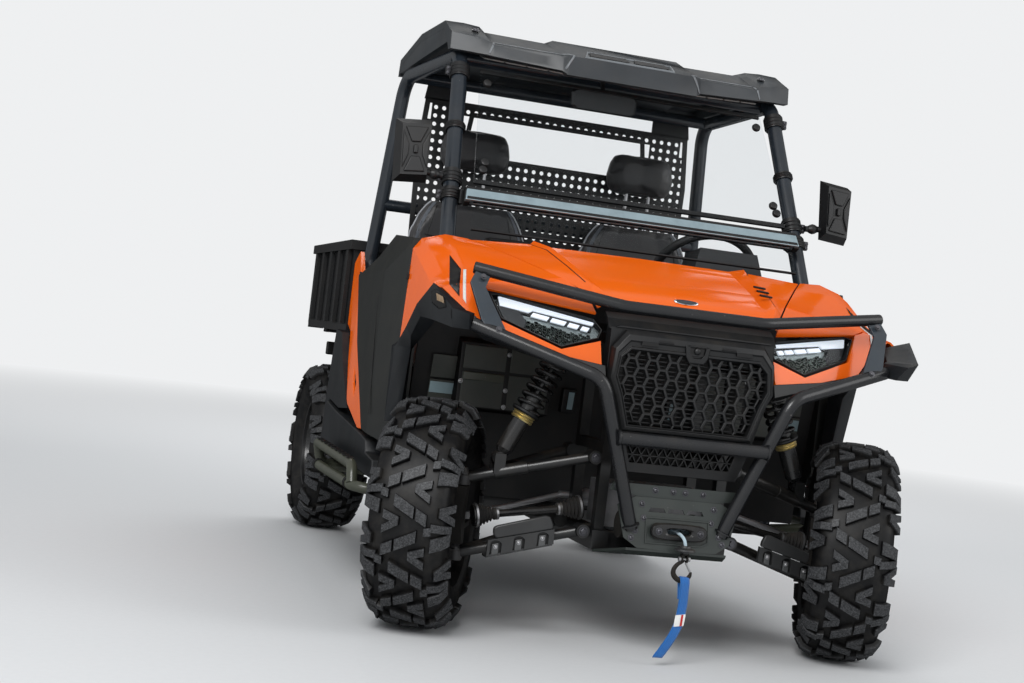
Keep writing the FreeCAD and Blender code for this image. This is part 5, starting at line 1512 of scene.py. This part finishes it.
def rims():
    """The wheels' rims with rounded edges, nuts, hub caps and discs."""
    half = TYRE_WIDTH * 0.35
    outer = half * 0.35 + 0.010
    hub = outer - 0.038
    cap = [(outer - 0.012, 0.031), (outer + 0.004, 0.031), (outer + 0.007, 0.027), (outer + 0.005, 0.020),
           (outer + 0.008, 0.014), (outer + 0.008, 0.0002)]
    bead = [(half - 0.012, 0.1715), (half - 0.001, 0.1765), (half + 0.003, 0.1768), (half + 0.0045, 0.1735),
            (half + 0.001, 0.1700), (half - 0.010, 0.1690)]
    disc = [(hub - 0.022, 0.037), (hub - 0.022, 0.110), (hub - 0.021, 0.111), (hub - 0.017, 0.111),
            (hub - 0.016, 0.110), (hub - 0.016, 0.046), (hub - 0.003, 0.043), (hub, 0.043), (hub, 0.037)]
    nuts = []
    for step in range(4):
        angle = math.pi / 2 * step + 0.4
        nuts.append(((outer - 0.008, 0.052 * math.cos(angle), 0.052 * math.sin(angle)), (1, 0, 0)))
    for axle in ("front", "rear"):
        for hand, _ in HANDS:
            wheel = "%s_%s" % (axle, hand)
            dressed("rim_" + wheel, RIM, 0.0022)
            bolted = HEX_BOLTS.run(facing_points(nuts), {"Scale": 0.0092}, "nuts")
            caps, discs = bmesh.new(), bmesh.new()
            add_lathe(caps, cap, (0, 0, 0), (1, 0, 0), 36)
            add_loft(caps, [[(x, r * c, r * s) for x, r in bead] for c, s in circle(72)], "joined")
            add_lathe(discs, disc, (0, 0, 0), (1, 0, 0), 48)
            for name, mesh, finish, slot in (
                    ("wheel_nuts_", bolted, None, None),
                    ("hub_cap_", mesh_from(caps, "hub"), BLACK, "black_plastic"),
                    ("brake_disc_", mesh_from(discs, "disc"), STEEL, "steel")):
                mesh.transform(wheel_matrix(axle, hand))
                as_piece(name + wheel, mesh, finish, "wheel_" + wheel)


rims()

# Cab frame and roof

LEG_FOOT = (612, -770, 1010)
LEG_HEAD = (558, -392, 1758)


def leg_at(z):
    """The middle of a front cage leg at a height."""
    return on_line(LEG_FOOT, LEG_HEAD, (z - LEG_FOOT[2]) / (LEG_HEAD[2] - LEG_FOOT[2]))


def cage_fittings():
    """Ribbed clamps on the front legs, with their lugs and bolts."""
    painted("roll_cage", CAGE)
    along = Vector(LEG_HEAD) - Vector(LEG_FOOT)
    clamps, lugs, places = [], [], []
    for z, width in ((1694, 24), (1500, 12), (1330, 24), (1272, 20)):
        centre = leg_at(z)
        profile = [(-width, 25.4), (-width, 30.5)]
        rib = (2 * width - 6) / 3
        for k in range(3):
            start = -width + 3 + k * (2 * width - 6) / 3
            profile += [(start, 31), (start + 2, 33.5), (start + rib - 3, 33.5), (start + rib - 1, 30.5)]
        profile += [(width, 30.5), (width, 25.4)]
        clamps.append((profile, centre, along))
        x, y, _ = centre
        if width > 12:
            lugs.append(block(x + 24, x + 47, y - 8, y + 8, z - 15, z + 15))
            places += [(at(x + 39, y - 8, z + step), (0, -1, 0)) for step in (7, -8)]
    made("leg_clamps", BLACK, turned=clamps, both=True)
    made("clamp_lugs", BLACK, plates=lugs, both=True, radius=0.003)
    bolts("clamp_bolts", both_sides(places), 0.0056)
    x, y, z = leg_at(1273)
    made("bar_brackets_inner", BLACK, plates=[block(x - 36, x - 20, y - 44, y + 6, z - 26, z + 22)],
         both=True, radius=0.004)


cage_fittings()


# Marks laid on a skin

MARK_GRID = 0.009
MARK_REACH = 0.4


def skin_of(mesh):
    """A mesh's faces, ready to be searched."""
    return BVHTree.FromPolygons([v.co for v in mesh.vertices], [p.vertices[:] for p in mesh.polygons])


def skin_patch(name, finish, piece, outline, inward, lift=0.0008, body="root", thick=0.0006):
    """A thin mark: an outline of places, in millimetres, laid on a piece along a direction."""
    inward = Vector(inward).normalized()
    tree = skin_of(piece.data)
    across = inward.orthogonal().normalized()
    upward = inward.cross(across)
    bm = bmesh.new()
    bm.faces.new([bm.verts.new(flat_on(Vector(p) * MM, across, upward)) for p in outline])
    for axis in (across, upward):
        shares = [v.co.dot(axis) for v in bm.verts]
        steps = int((max(shares) - min(shares)) / MARK_GRID)
        for k in range(1, steps + 1):
            cut = axis * (min(shares) + k * MARK_GRID)
            bmesh.ops.bisect_plane(bm, geom=everything(bm), plane_co=cut, plane_no=axis)
    missed = []
    for vert in bm.verts:
        hit = tree.ray_cast(vert.co - inward * 2.0, inward)[0]
        if hit is None or (hit - Vector(outline[0]) * MM).length > MARK_REACH:
            missed.append(vert)
        else:
            vert.co = hit - inward * lift
    bmesh.ops.delete(bm, geom=missed, context="VERTS")
    bmesh.ops.triangulate(bm, faces=bm.faces)
    patch = as_piece(name, mesh_from(bm, name), finish, body)
    skin = patch.modifiers.new("thickness", "SOLIDIFY")
    skin.thickness = thick
    skin.offset = 1.0 if patch.data.polygons[0].normal.dot(inward) < 0 else -1.0
    return patch


def flat_on(place, across, upward):
    """A place moved onto the plane through the origin that two directions span."""
    return across * place.dot(across) + upward * place.dot(upward)


def roof_fittings():
    """The roof with its frames, ribbed lining, bolts and the inner mirror; the brow's frame and the lines
    along its edges are light grey as painted highlight.
    """
    dressed("roof", ROOF, 0.006, 3)
    lining = []
    for left in range(-487, 440, 70):
        front = [(x, -506 + max(abs(x) - 225, 0) * 0.29) for x in (left, left + 64)]
        outline = [(x, y, 1733 + (y + 506) * 0.2756) for x, y in front + [(left + 64, -350), (left, -350)]]
        lining.append((outline, (0, 1, -5)))
    # the lining in its grey made lighter as painted light for the shaded underside of the roof
    made("roof_lining", INNER_GREY, plates=lining, radius=0.003)
    panes = [([(x0, -508, 1799), (x1, -508, 1799), (x1 + 10, -432, 1824.5), (x0 + 18, -432, 1824.5)],
              (0, -1, 3))
             for x0, x1 in ((-150, -12), (8, 128))]
    made("brow_panels", BLACK, plates=panes, radius=0.004)
    outer = [(-172, -520), (146, -520), (166, -420), (-138, -420)]
    frame_loops = [[(x, y, 1789 + 0.3605 * (y + 530) + lift) for x, y in outline] for outline, lift in (
        (outer, -2), (shrunk(outer, 2), 4), (shrunk(outer, 6), 4), (shrunk(outer, 9), -2))]
    # the brow frame in light grey as painted highlight
    made("brow_frame", EDGE_HIGHLIGHT, rings=[frame_loops], radius=0.001)
    roof = bpy.data.objects["roof_shell"]
    # light grey lines along the brow's edges, as painted highlight
    for hand, sign in HANDS:
        seams = ((((206, -528, 1792), (214, -528, 1792), (243, -525, 1737), (235, -525, 1737)), "inner"),
                 (((462, -466, 1806), (469, -464, 1806), (487, -462, 1756), (480, -463, 1756)), "outer"),
                 (((206, -528, 1793), (462, -466, 1807), (462, -464, 1811), (206, -526, 1797)), "upper"))
        for outline, place in seams:
            skin_patch("brow_seam_%s_%s" % (place, hand), EDGE_HIGHLIGHT, roof,
                       [(sign * x, y, z) for x, y, z in outline], (0, 1, -0.1), 0.0012)
    places = [(at(x, y, z), (0, -0.3, 1)) for x, y, z in ((515, -380, 1845), (515, 330, 1863))]
    bolts("roof_bolts", both_sides(places), 0.010)
    shell = [(-116, 1690), (-104, 1700), (104, 1700), (116, 1690), (112, 1646), (98, 1636), (-98, 1636),
             (-112, 1646)]
    bm = lofted([metres([(x * s - 62, y, 1668 + (z - 1668) * s) for x, z in shell])
                 for y, s in ((-444, 0.93), (-438, 1.0), (-426, 1.0), (-408, 0.72))])
    as_piece("cab_mirror", mesh_from(bm, "cab_mirror"), BLACK)
    stem = [(0, 7), (40, 7), (66, 11), (66, 2)]
    made("cab_mirror_stem", BLACK, turned=[(stem, (-62, -415, 1690), (0, 0.35, 1))])
    made("cab_mirror_glass", MIRROR, plates=[block(-160, 36, -409, -406.5, 1645, 1691)], radius=0.002)


roof_fittings()


def mirrors():
    """Side mirrors: ribbed backs, glass that looks rearwards, ball arms."""
    dressed("mirrors", BLACK, 0.015, 4)
    top_in, top_out = Vector((682, -662, 1480)), Vector((772, -652, 1474))
    low_in, low_out = Vector((684, -678, 1322)), Vector((766, -668, 1314))

    def on_back(u, v):
        """A place on the back: u from the inner to the outer side, v from the top down."""
        return top_in.lerp(top_out, u).lerp(low_in.lerp(low_out, u), v) + Vector((0, 1, 0))

    pads = [([on_back(u, v) for u, v in outline], (0, -proud, 0)) for proud, outline in (
        (7, ((0.10, 0.06), (0.90, 0.06), (0.66, 0.36), (0.34, 0.36))),
        (7, ((0.34, 0.64), (0.66, 0.64), (0.90, 0.94), (0.10, 0.94))),
        (7, ((0.04, 0.12), (0.26, 0.40), (0.26, 0.60), (0.04, 0.88))),
        (7, ((0.96, 0.12), (0.96, 0.88), (0.74, 0.60), (0.74, 0.40))),
        (10, ((0.42, 0.42), (0.58, 0.42), (0.58, 0.58), (0.42, 0.58))))]
    made("mirror_ribs", BLACK, plates=pads, both=True, radius=0.004)
    glass = [(684, -607.5, 1490), (775, -595, 1483), (771, -619.5, 1302), (688, -637.5, 1309)]
    made("mirror_glasses", MIRROR, plates=[(glass, (0, 2.5, 0))], both=True, radius=0.0008)
    ball = [(-4, 10.5), (4, 15), (12, 17), (20, 15), (28, 10.5)]
    made("mirror_balls", BLACK, turned=[(ball, (640, -636, 1331), (1, -0.08, 0.08))], both=True)


mirrors()


def windshield():
    """Clear panes with dark sealing strips and catches; the bar with its channels and end caps."""
    painted("windshield_panes", PANE)
    dressed("windshield_bar", ALUMINIUM, 0.012, 5)

    def on_pane(x, z, lift=0.0):
        """A place on the raked windshield, or lifted off its front."""
        share = (z - 1166) / 556
        return (x, -776 + share * 346 - lift * 0.85, z + lift * 0.53)

    def laid(outline, lift, push):
        """A plate given by (x, z) points on the windshield and a push inwards."""
        return [on_pane(x, z, lift) for x, z in outline], push

    strips = [laid(((-half, z0), (half, z0), (half - 3, z1), (-half + 3, z1)), 1, (0, 7.5, -4.7))
              for z0, z1, half in ((1318, 1332, 533), (1700, 1712, 499), (1167, 1172, 548))]
    made("pane_strips", BLACK, plates=strips, radius=0.0015)
    catch = [(0, 4), (1, 13), (6, 15), (13, 13), (15, 9), (15, 0.2)]
    catches = [(catch, on_pane(x, z), (0, -0.85, 0.53)) for x, z in ((505, 1360), (497, 1385), (478, 1660))]
    made("pane_catches", BLACK, turned=catches, both=True)
    channels = [laid(((-564, low), (564, low), (561, top), (-561, top)), 16, (0, 28, -17.5))
                for low, top in ((1253, 1265), (1285, 1296))]
    made("bar_channels", BLACK, plates=channels, radius=0.002)
    cap = laid(((549, 1248), (570, 1248), (564, 1298), (544, 1298)), 11, (0, 24, -15))
    made("bar_end_caps", BLACK, plates=[cap], both=True, radius=0.005)


windshield()


def screen_cell():
    """A square of the screen round one punched hole."""
    bm = bmesh.new()
    half, hole = 15.5, 7.8
    reaches = [(c, s, half / max(abs(c), abs(s))) for c, s in circle(16)]
    square = [(reach * c, reach * s) for c, s, reach in reaches]
    punched = [(hole * c, hole * s) for c, s in circle(16)]
    add_loft(bm, [[at(x, y, z) for x, y in outline]
                  for outline, z in ((square, 0), (punched, 0), (punched, 3), (square, 3))], "open")
    return template("screen_cell", bm)


def rear_screen():
    """The punched sheet behind the seats, with its edge frame and window."""
    places = []
    for column in range(-17, 17):
        for row in range(22):
            x, z = (column + 0.5) * 31, 1018 + 31 * row
            in_window = abs(x) < 366 and 1498 < z < 1668
            half = 520 + 15 * (z - 1000) / 500 if z < 1500 else 535 - 15 * (z - 1500) / 200
            if abs(x) < half - 14 and not in_window and z < 1688:
                places.append((at(x, 272.5, z), (0, -1, 0)))
    cells = copies_pattern("screen_cells", BLACK, screen_cell())
    mesh = cells.run(facing_points(places), {"Scale": 1.0}, "screen_sheet")
    sheet = as_piece("screen_sheet", mesh, None)
    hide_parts("rear_screen")
    outer = [(-524, 998), (524, 998), (537, 1500), (523, 1702), (-523, 1702), (-537, 1500)]
    window = [(-350, 1512), (350, 1512), (332, 1652), (-332, 1652)]
    loops = []
    for outline, by in ((outer, 20), (window, -18)):
        inner = shrunk(outline, by)
        loops.append(stepped((outline, 274), (outline, 268), (inner, 268), (inner, 274)))
    made("screen_frames", BLACK, rings=loops, radius=0.0018)
    corner = [(-528, 1694), (-372, 1694), (-372, 1752), (-486, 1764), (-520, 1752)]
    made("screen_corners", BLACK, plates=[cross(corner, 268, 273)], both=True, radius=0.002)


rear_screen()


def dyed(piece, finish, low, high):
    """Another finish for the faces whose middles lie in a box, in millimetres."""
    piece.data.materials.append(finish)
    for face in piece.data.polygons:
        if all(a * 0.001 <= c <= b * 0.001 for a, c, b in zip(low, face.center, high)):
            face.material_index = len(piece.data.materials) - 1


def fender_marks():
    """The fenders' black wedge and white stripe, left without their number."""
    fenders = bpy.data.objects["front_fenders_shell"]
    for hand, sign in reversed(HANDS):
        wedge = [(645, -953, 1071), (629, -1047, 1031), (650, -1158, 947), (678, -1136, 978)]
        stripe = [(623, -1052, 1030), (615, -1055, 1030), (632, -1172, 930), (641, -1164, 943)]
        for label, finish, outline in (("wedge", BLACK_MARK, wedge), ("stripe", WHITE_MARK, stripe)):
            placed = [(sign * x, y, z) for x, y, z in outline]
            skin_patch("fender_%s_%s" % (label, hand), finish, fenders, placed, (-sign * 0.25, 0.65, -0.6),
                       0.0016)
        dyed(fenders, BLACK, (sign * 724 - 12, -802, 955), (sign * 724 + 12, -760, 1045))


fender_marks()


def hood_badge():
    """A bare oval boss on the hood's nose."""
    hood = bpy.data.objects["hood_shell"]
    middle = Vector((0.0, -1224.0, 1012.5))
    for name, finish, wide, lift, thick in (("badge_rim", CHROME, 38.0, 0.0008, 0.0022),
                                            ("badge_face", BRACKET, 33.5, 0.0010, 0.0030)):
        high = wide * 0.40
        outline = [middle + Vector((wide * c, -high * 0.30 * s, high * 0.95 * s)) for c, s in circle(28)]
        skin_patch(name, finish, hood, outline, (0, 0.9, -0.45), lift, "hood", thick)


def hood_spine_shadows():
    """A thin dark line at the outer foot of each spine of the hood: painted shadow of the step there."""
    hood = bpy.data.objects["hood_shell"]
    foot = [(363, -806, 1143), (333, -886, 1128), (317, -1060, 1079), (296, -1185, 1038)]
    shadow_line = [(x - 1.0, y, z) for x, y, z in foot] + [(x + 1.2, y, z) for x, y, z in reversed(foot)]
    for hand, sign in HANDS:
        # painted shadow line along the spine's foot
        skin_patch("hood_crease_" + hand, BLACK_MARK, hood, [(sign * x, y, z) for x, y, z in shadow_line],
                   (0, 0.3, -1), 0.0004, "hood", 0.0004)


hood_badge()
hood_spine_shadows()

# Doors, flares and sills

dressed("fender_flares", FLARE, 0.006, 3)
dressed("door_left", DOOR, 0.008, 3)
dressed("door_right", DOOR, 0.008, 3)
dressed("side_sills", FLARE, 0.005, 3)


def flare_details():
    """Marker lamps in their clipped recesses, and the flares' seams."""
    flares = bpy.data.objects["fender_flares_shell"]
    for hand, sign in reversed(HANDS):
        recess = [(731, -1212, 962), (713, -1276, 950), (712, -1278, 914), (722, -1222, 908),
                  (729, -1170, 926), (733, -1174, 955)]
        marker = [(730, -1220, 951), (716, -1268, 942), (715, -1272, 925), (727, -1222, 932)]
        seam = [(708, -1313, 912), (706, -1317, 911), (699, -1307, 886), (701, -1303, 887)]
        for label, finish, outline, lift in (
                ("recess", BLACK_MARK, recess, 0.0006), ("marker", TAN_MARK, marker, 0.0024),
                ("seam", BLACK_MARK, seam, 0.0004)):
            placed = [(sign * x, y, z) for x, y, z in outline]
            skin_patch("flare_%s_%s" % (label, hand), finish, flares, placed, (-sign * 0.93, 0.30, 0.10),
                       lift)
        ribs = []
        wide = Vector((-1.2, -4.0, -0.4))
        for k in range(4):
            share = 0.14 + 0.22 * k
            top = Vector(marker[0]).lerp(Vector(marker[1]), share)
            low = Vector(marker[3]).lerp(Vector(marker[2]), share)
            outline = [top, top + wide, low + wide, low]
            ribs.append(([(sign * x, y, z) for x, y, z in outline], (sign * 5.0, -1.0, 0)))
        made("flare_marker_ribs_%s" % hand, TAN_MARK, plates=ribs, radius=0.0008)


flare_details()


def door_details():
    """Latches and pressed seams of the half doors."""
    for hand, sign in HANDS:
        body = "door_" + hand
        handle = [([(746, -150, 985), (746, -88, 990), (750, -88, 1008), (748, -150, 1002)], (7, 0, 0))]
        cup = [([(744, -164, 972), (744, -76, 978), (749, -76, 1018), (748, -164, 1012)], (3, 0, 0))]
        made("door_cup_" + hand, BLACK_MARK, plates=cup, radius=0.003, body=body, hand=sign)
        made("door_handle_" + hand, BLACK, plates=handle, radius=0.003, body=body, hand=sign)
        creases = [([(752.0, y, z), (752.0, y + 5, z), (753.5, y2 + 5, z2), (753.5, y2, z2)], (1.6, 0, 0))
                   for y, z, y2, z2 in ((-205, 935, -330, 680), (-470, 935, -560, 560))]
        made("door_creases_" + hand, BLACK_MARK, plates=creases, radius=0.0006, body=body, hand=sign)


door_details()


BOX_LEAN = 0.17


def arch_boxes():
    """Lids, panels, bare labels and fasteners of the boxes in the wheel arches."""
    dressed("firewall", INNER, 0.006, 3)
    panels = []
    for x0, x1 in ((262, 388), (402, 535)):
        panels.append((strip(x0, x1, (-828, 632), (-828, 738)), (0, -4, 0)))
        panels.append((strip(x0, x1, (-828, 746), (-828, 818)), (0, -7, 0)))
    made("box_panels", BOX, plates=panels, both=True, radius=0.004)
    beside = [(strip(534, 620, *((-767 - (z - 660) * BOX_LEAN, z) for z in heights)), (0, -3.5, 0))
              for heights in ((640, 701), (707, 778))]
    made("side_box_panels", BOX, plates=beside, both=True, radius=0.003)
    made("box_bands", SIDE_BAR, plates=[(strip(404, 533, (-834, 712), (-834, 737)), (0, -5, 0))], both=True,
         radius=0.003)
    label = strip(540, 618, *((-770.8 - z * BOX_LEAN, z + 660) for z in (0, 34)))
    made("box_label", LABEL, plates=[(label, (0, -1.2, 0))], both=True, radius=0.0006)
    places = [(at(x, -832, z), (0, -1, 0))
              for x, z in ((395, 690), (538, 706), (395, 640), (395, 800), (262, 824))]
    bolts("box_bolts", both_sides(places), 0.0055, pattern=STEEL_BOLTS)
    made("arch_units", BLACK, plates=[(strip(150, 196, (-752, 640), (-764, 716)), (0, -26, 0))], both=True,
         radius=0.005)
    made("arch_unit_labels", LABEL, plates=[(strip(160, 178, (-782, 652), (-791.5, 706)), (0, -1.4, 0))],
         both=True)


arch_boxes()

# Bed, tailgate and underside

dressed("cargo_bed", BLACK, 0.004)
dressed("tailgate", BLACK, 0.0022)


def side_bar_treads():
    """Ribbed treads on the step bars, with their clamps."""
    painted("side_bars", SIDE_BAR)
    treads = [(strip(788, 812, (y, 420.5), (y + 46, 420.5)), (0, 0, 3)) for y in range(-600, 84, 76)]
    made("step_treads", BLACK, plates=treads, both=True, radius=0.002)
    clamp = [(-11, 17), (-11, 20), (-4, 21), (-4, 19), (4, 19), (4, 21), (11, 20), (11, 17)]
    made("bar_clamps", BLACK, turned=[(clamp, (800, y, z), (0, 1, 0)) for y, z in ((-610, 345), (20, 333))],
         both=True)


side_bar_treads()

# Cab

dressed("dashboard", DASH, 0.006, 3)


COLUMN_RISE = math.radians(38)


def controls():
    """Display, switches, glovebox, grab bar and the steering wheel's pad."""
    display = [(262, -604, 1140), (408, -604, 1140), (414, -599, 1186), (256, -599, 1186)]
    made("display_face", BLACK_MARK, plates=[(display, (0, 4, -1))], radius=0.003)
    switches = [(strip(x, x + 26, (-583, 1062), (-586, 1094)), (0, 7, 1)) for x in (-40, -6, 28, 62)]
    made("dash_switches", BLACK_MARK, plates=switches, radius=0.0025)
    glovebox = (strip(-470, -150, (-585, 985), (-590, 1088)), (0, 6, 0))
    made("glovebox_lid", DASH, plates=[glovebox], radius=0.006)
    latch = (strip(-330, -290, (-580, 1068), (-581, 1080)), (0, 5, 0))
    made("glovebox_latch", BLACK_MARK, plates=[latch], radius=0.002)
    grab = [at(-440, -600, 1128), at(-440, -560, 1150), at(-430, -548, 1156), at(-190, -548, 1156),
            at(-180, -560, 1150), at(-180, -600, 1128)]
    as_piece("grab_bar", tube_mesh("grab_bar", grab, 0.010), BLACK)
    hub = [(-6, 12), (-6, 50), (4, 52), (9, 44), (10, 20), (10, 0.2)]
    tilt = Vector((0, math.cos(COLUMN_RISE), math.sin(COLUMN_RISE)))
    middle = Vector((335, -495, 1128)) + tilt * 9
    made("wheel_pad", BLACK, turned=[(hub, middle, tilt)], body="steering_wheel")


controls()

# Seats

SWELLING_FRAMES = 18
BACK_EDGE = ((226, 170, 850), (236, 168, 1000), (232, 172, 1150), (210, 178, 1260), (160, 190, 1325))
BACK_INNER = ((168, 140, 840), (170, 138, 1000), (168, 145, 1120), (156, 150, 1210), (132, 160, 1300))
BACK_STRIPE = ((214, 136, 850), (218, 136, 1000), (212, 142, 1140), (190, 152, 1240), (150, 164, 1318))
LOW_EDGE = ((220, -232, 760), (214, -180, 812), (218, -40, 812), (216, 120, 800), (210, 196, 790))
LOW_STRIPE = ((196, -222, 792), (194, -180, 815), (196, -40, 815), (196, 120, 805), (190, 190, 798))
PIPING_RADIUS, SEAM_RADIUS, CHANNEL_RADIUS = 0.0032, 0.0022, 0.0020
PIPING_LIFT, STRIPE_LIFT, STRIPE_THICK = 0.0014, 0.0008, 0.0010


def swollen(name, bm, cap):
    """A closed form remeshed and blown up like a cushion; no place moves more than the cap."""
    mesh = mesh_from(bm, name)
    holder = linked(bpy.data.objects.new(name, mesh))
    remesh = holder.modifiers.new("remesh", "REMESH")
    remesh.mode = "VOXEL"
    remesh.voxel_size = 0.006
    even = applied(holder, name)
    start = [v.co.copy() for v in even.vertices]
    holder = linked(bpy.data.objects.new(name, even))
    cloth = holder.modifiers.new("cloth", "CLOTH")
    cloth.settings.use_pressure = True
    cloth.settings.uniform_pressure_force = 4.0
    cloth.settings.quality = 4
    cloth.settings.mass = 0.4
    cloth.settings.effector_weights.gravity = 0.0
    cloth.point_cache.frame_start = 1
    cloth.point_cache.frame_end = SWELLING_FRAMES
    for frame_number in range(1, SWELLING_FRAMES + 1):
        bpy.context.scene.frame_set(frame_number)
    blown = applied(holder, name)
    bpy.context.scene.frame_set(1)
    for vert, place in zip(blown.vertices, start):
        move = vert.co - place
        if move.length > cap:
            vert.co = place + move.normalized() * cap
    return blown


def applied(holder, name):
    """The evaluated mesh of an object, which is then taken away."""
    evaluated = holder.evaluated_get(bpy.context.evaluated_depsgraph_get())
    mesh = bpy.data.meshes.new_from_object(evaluated)
    bpy.data.objects.remove(holder)
    mesh.name = name
    return mesh


def seat_bottom_form():
    """The seat's lower cushion: a sunk middle between two side rolls."""
    rings = []
    for x, drop, inset in ((-226, 34, 26), (-218, 12, 12), (-196, 2, 6), (-168, 3, 6), (-140, 18, 6),
                           (-70, 22, 6), (70, 22, 6), (140, 18, 6), (168, 3, 6), (196, 2, 6), (218, 12, 12),
                           (226, 34, 26)):
        top = 812 - drop
        rings.append([at(x, y, z) for y, z in (
            (-240 + inset, 714 + inset * 0.4), (-243 + inset, 755), (-228 + inset, top - 22),
            (-190, top - 2), (-140, top + 0), (0, top - 10), (120, top - 20), (196 - inset, top - 14),
            (209 - inset, top - 34), (209 - inset, 728), (0, 716 + inset * 0.3),
            (-150, 708 + inset * 0.3))])
    return lofted(rings)


def seat_back_form():
    """The back cushion: side rolls, a hollow for the back and a narrower head."""
    rings = []
    for z, half, front, hollow in ((818, 200, 150, 4), (832, 222, 138, 10), (880, 230, 134, 16),
                                   (1000, 231, 138, 18), (1120, 230, 145, 16), (1205, 222, 150, 12),
                                   (1262, 196, 156, 8), (1300, 172, 160, 5), (1322, 152, 168, 2)):
        rear = 216 if z < 900 else 226
        rings.append([at(x, y, z) for x, y in (
            (-half, front + 34), (-half + 6, front + 8), (-half + 30, front),
            (-half + 66, front + hollow * 0.5), (-half * 0.45, front + hollow),
            (half * 0.45, front + hollow), (half - 66, front + hollow * 0.5), (half - 30, front),
            (half - 6, front + 8), (half, front + 34), (half - 4, rear - 10), (half - 24, rear),
            (0, rear + 3), (-half + 24, rear), (-half + 4, rear - 10))])
    return lofted(rings)


def headrest_form():
    """The headrest's cushion, widest a little below its middle."""
    rings = []
    for z, half, front, rear in ((1446, 96, 196, 236), (1452, 112, 186, 244), (1475, 128, 180, 250),
                                 (1510, 134, 178, 252), (1560, 124, 182, 250), (1586, 110, 188, 246),
                                 (1594, 92, 198, 238)):
        middle = (front + rear) / 2
        rings.append([at(x, y, z) for x, y in (
            (-half, middle), (-half + 8, front + 8), (-half + 34, front), (0, front + 4),
            (half - 34, front), (half - 8, front + 8), (half, middle), (half - 12, rear - 6),
            (half - 34, rear), (0, rear), (-half + 34, rear), (-half + 12, rear - 6))])
    return lofted(rings)


def on_skin(tree, places, lift):
    """Places moved to the nearest spot of a cushion's skin and lifted off it."""
    found = []
    for place in places:
        near, normal, _, _ = tree.find_nearest(Vector(place) * MM)
        found.append(near + normal * lift)
    return found


def ribbon(name, first, second, thick):
    """A band between two lines of places on a skin; its faces come in the same order each run."""
    bm = bmesh.new()
    rows = [[bm.verts.new(a), bm.verts.new((a + b) / 2), bm.verts.new(b)] for a, b in zip(first, second)]
    for row, after in zip(rows, rows[1:]):
        for k in (0, 1):
            bm.faces.new((row[k], row[k + 1], after[k + 1], after[k]))
    bmesh.ops.solidify(bm, geom=bm.faces[:], thickness=thick)
    band = mesh_from(bm, name)
    faces = sorted(tuple(face.vertices) for face in band.polygons)
    mesh = bpy.data.meshes.new(name)
    mesh.from_pydata([vert.co for vert in band.vertices], [], faces)
    return mesh


def dense(points):
    """A line through a few places, with many more between them."""
    return [Vector(p) for p in smooth_line(points, 8)]


def seat_parts():
    """Cushions, seams, piping and grey side stripes of one seat about x = 0."""
    parts, skins = [], []

    def cord(name, skin, points, lift, radius, finish):
        """A round cord along a line on a cushion."""
        parts.append((name, tube_mesh("cord", on_skin(skin, dense(points), lift), radius), finish, False))

    def stripe(name, skin, points, inwards):
        """A flat band beside a line on a cushion."""
        line = dense(points)
        wide = [(x - inwards, y, z) for x, y, z in line]
        edges = [on_skin(skin, places, STRIPE_LIFT) for places in (line, wide)]
        parts.append((name, ribbon("stripe", *edges, STRIPE_THICK), STRIPE, False))

    for name, form, cap in (("seat_cushion", seat_bottom_form(), 0.007),
                            ("seat_back", seat_back_form(), 0.007), ("headrest", headrest_form(), 0.006)):
        mesh = swollen(name, form, cap)
        skins.append(skin_of(mesh))
        parts.append((name, mesh, SEAT, True))
    low, back, _ = skins
    for hand, sign in (("a", -1), ("b", 1)):
        edge, inner, outer, low_edge, low_outer = (
            [(sign * x, y, z) for x, y, z in line]
            for line in (BACK_EDGE, BACK_INNER, BACK_STRIPE, LOW_EDGE, LOW_STRIPE))
        cord("back_piping_" + hand, back, edge, PIPING_LIFT, PIPING_RADIUS, PIPING)
        cord("back_seam_" + hand, back, inner, 0.0, SEAM_RADIUS, BLACK_MARK)
        stripe("back_stripe_" + hand, back, outer, sign * 16)
        cord("cushion_piping_" + hand, low, low_edge, PIPING_LIFT, PIPING_RADIUS, PIPING)
        stripe("cushion_stripe_" + hand, low, low_outer, sign * 14)
    for k, z in enumerate((960, 1080, 1190)):
        row = [(-168, 140, z), (-90, 150, z - 8), (0, 152, z - 12), (90, 150, z - 8), (168, 140, z)]
        cord("back_channel_%d" % k, back, row, 0.0, CHANNEL_RADIUS, BLACK_MARK)
    for k, y in enumerate((-120, -10, 100)):
        row = [(-150, y, 800), (-80, y - 8, 796), (0, y - 12, 795), (80, y - 8, 796), (150, y, 800)]
        cord("cushion_channel_%d" % k, low, row, 0.0, CHANNEL_RADIUS, BLACK_MARK)
    return parts


def seats():
    """Both seats, each with the two posts of its headrest."""
    for hand, x in (("left", 0.325), ("right", -0.325)):
        for name, mesh, finish, soft in SEAT_PARTS:
            placed = mesh.copy()
            placed.transform(Matrix.Translation((x, 0, 0)))
            piece = as_piece("%s_%s" % (name, hand), placed, finish, "root")
        posts = [([(0, 6.5), (150, 6.5)], (x * 1000 + shift, 214, 1310), (0, 0, 1)) for shift in (-45, 45)]
        made("headrest_posts_" + hand, STEEL, turned=posts)
    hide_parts("seat_bottoms")
    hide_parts("seat_backs")


SEAT_PARTS = seat_parts()
seats()

# Plain nodes in their finishes

for node_name, node_finish in (
    ("chassis_frame", FRAME), ("front_subframe", FRAME), ("rear_subframe", FRAME),
    ("hitch_receiver", FRAME), ("floor_tub", INNER), ("gear_cases", CAST), ("rear_uprights", IRON),
    ("engine", IRON), ("exhaust", STEEL), ("knuckle_left", IRON), ("knuckle_right", IRON),
    ("steering_rods", STEEL), ("steering_wheel", DASH),
):
    painted(node_name, node_finish)
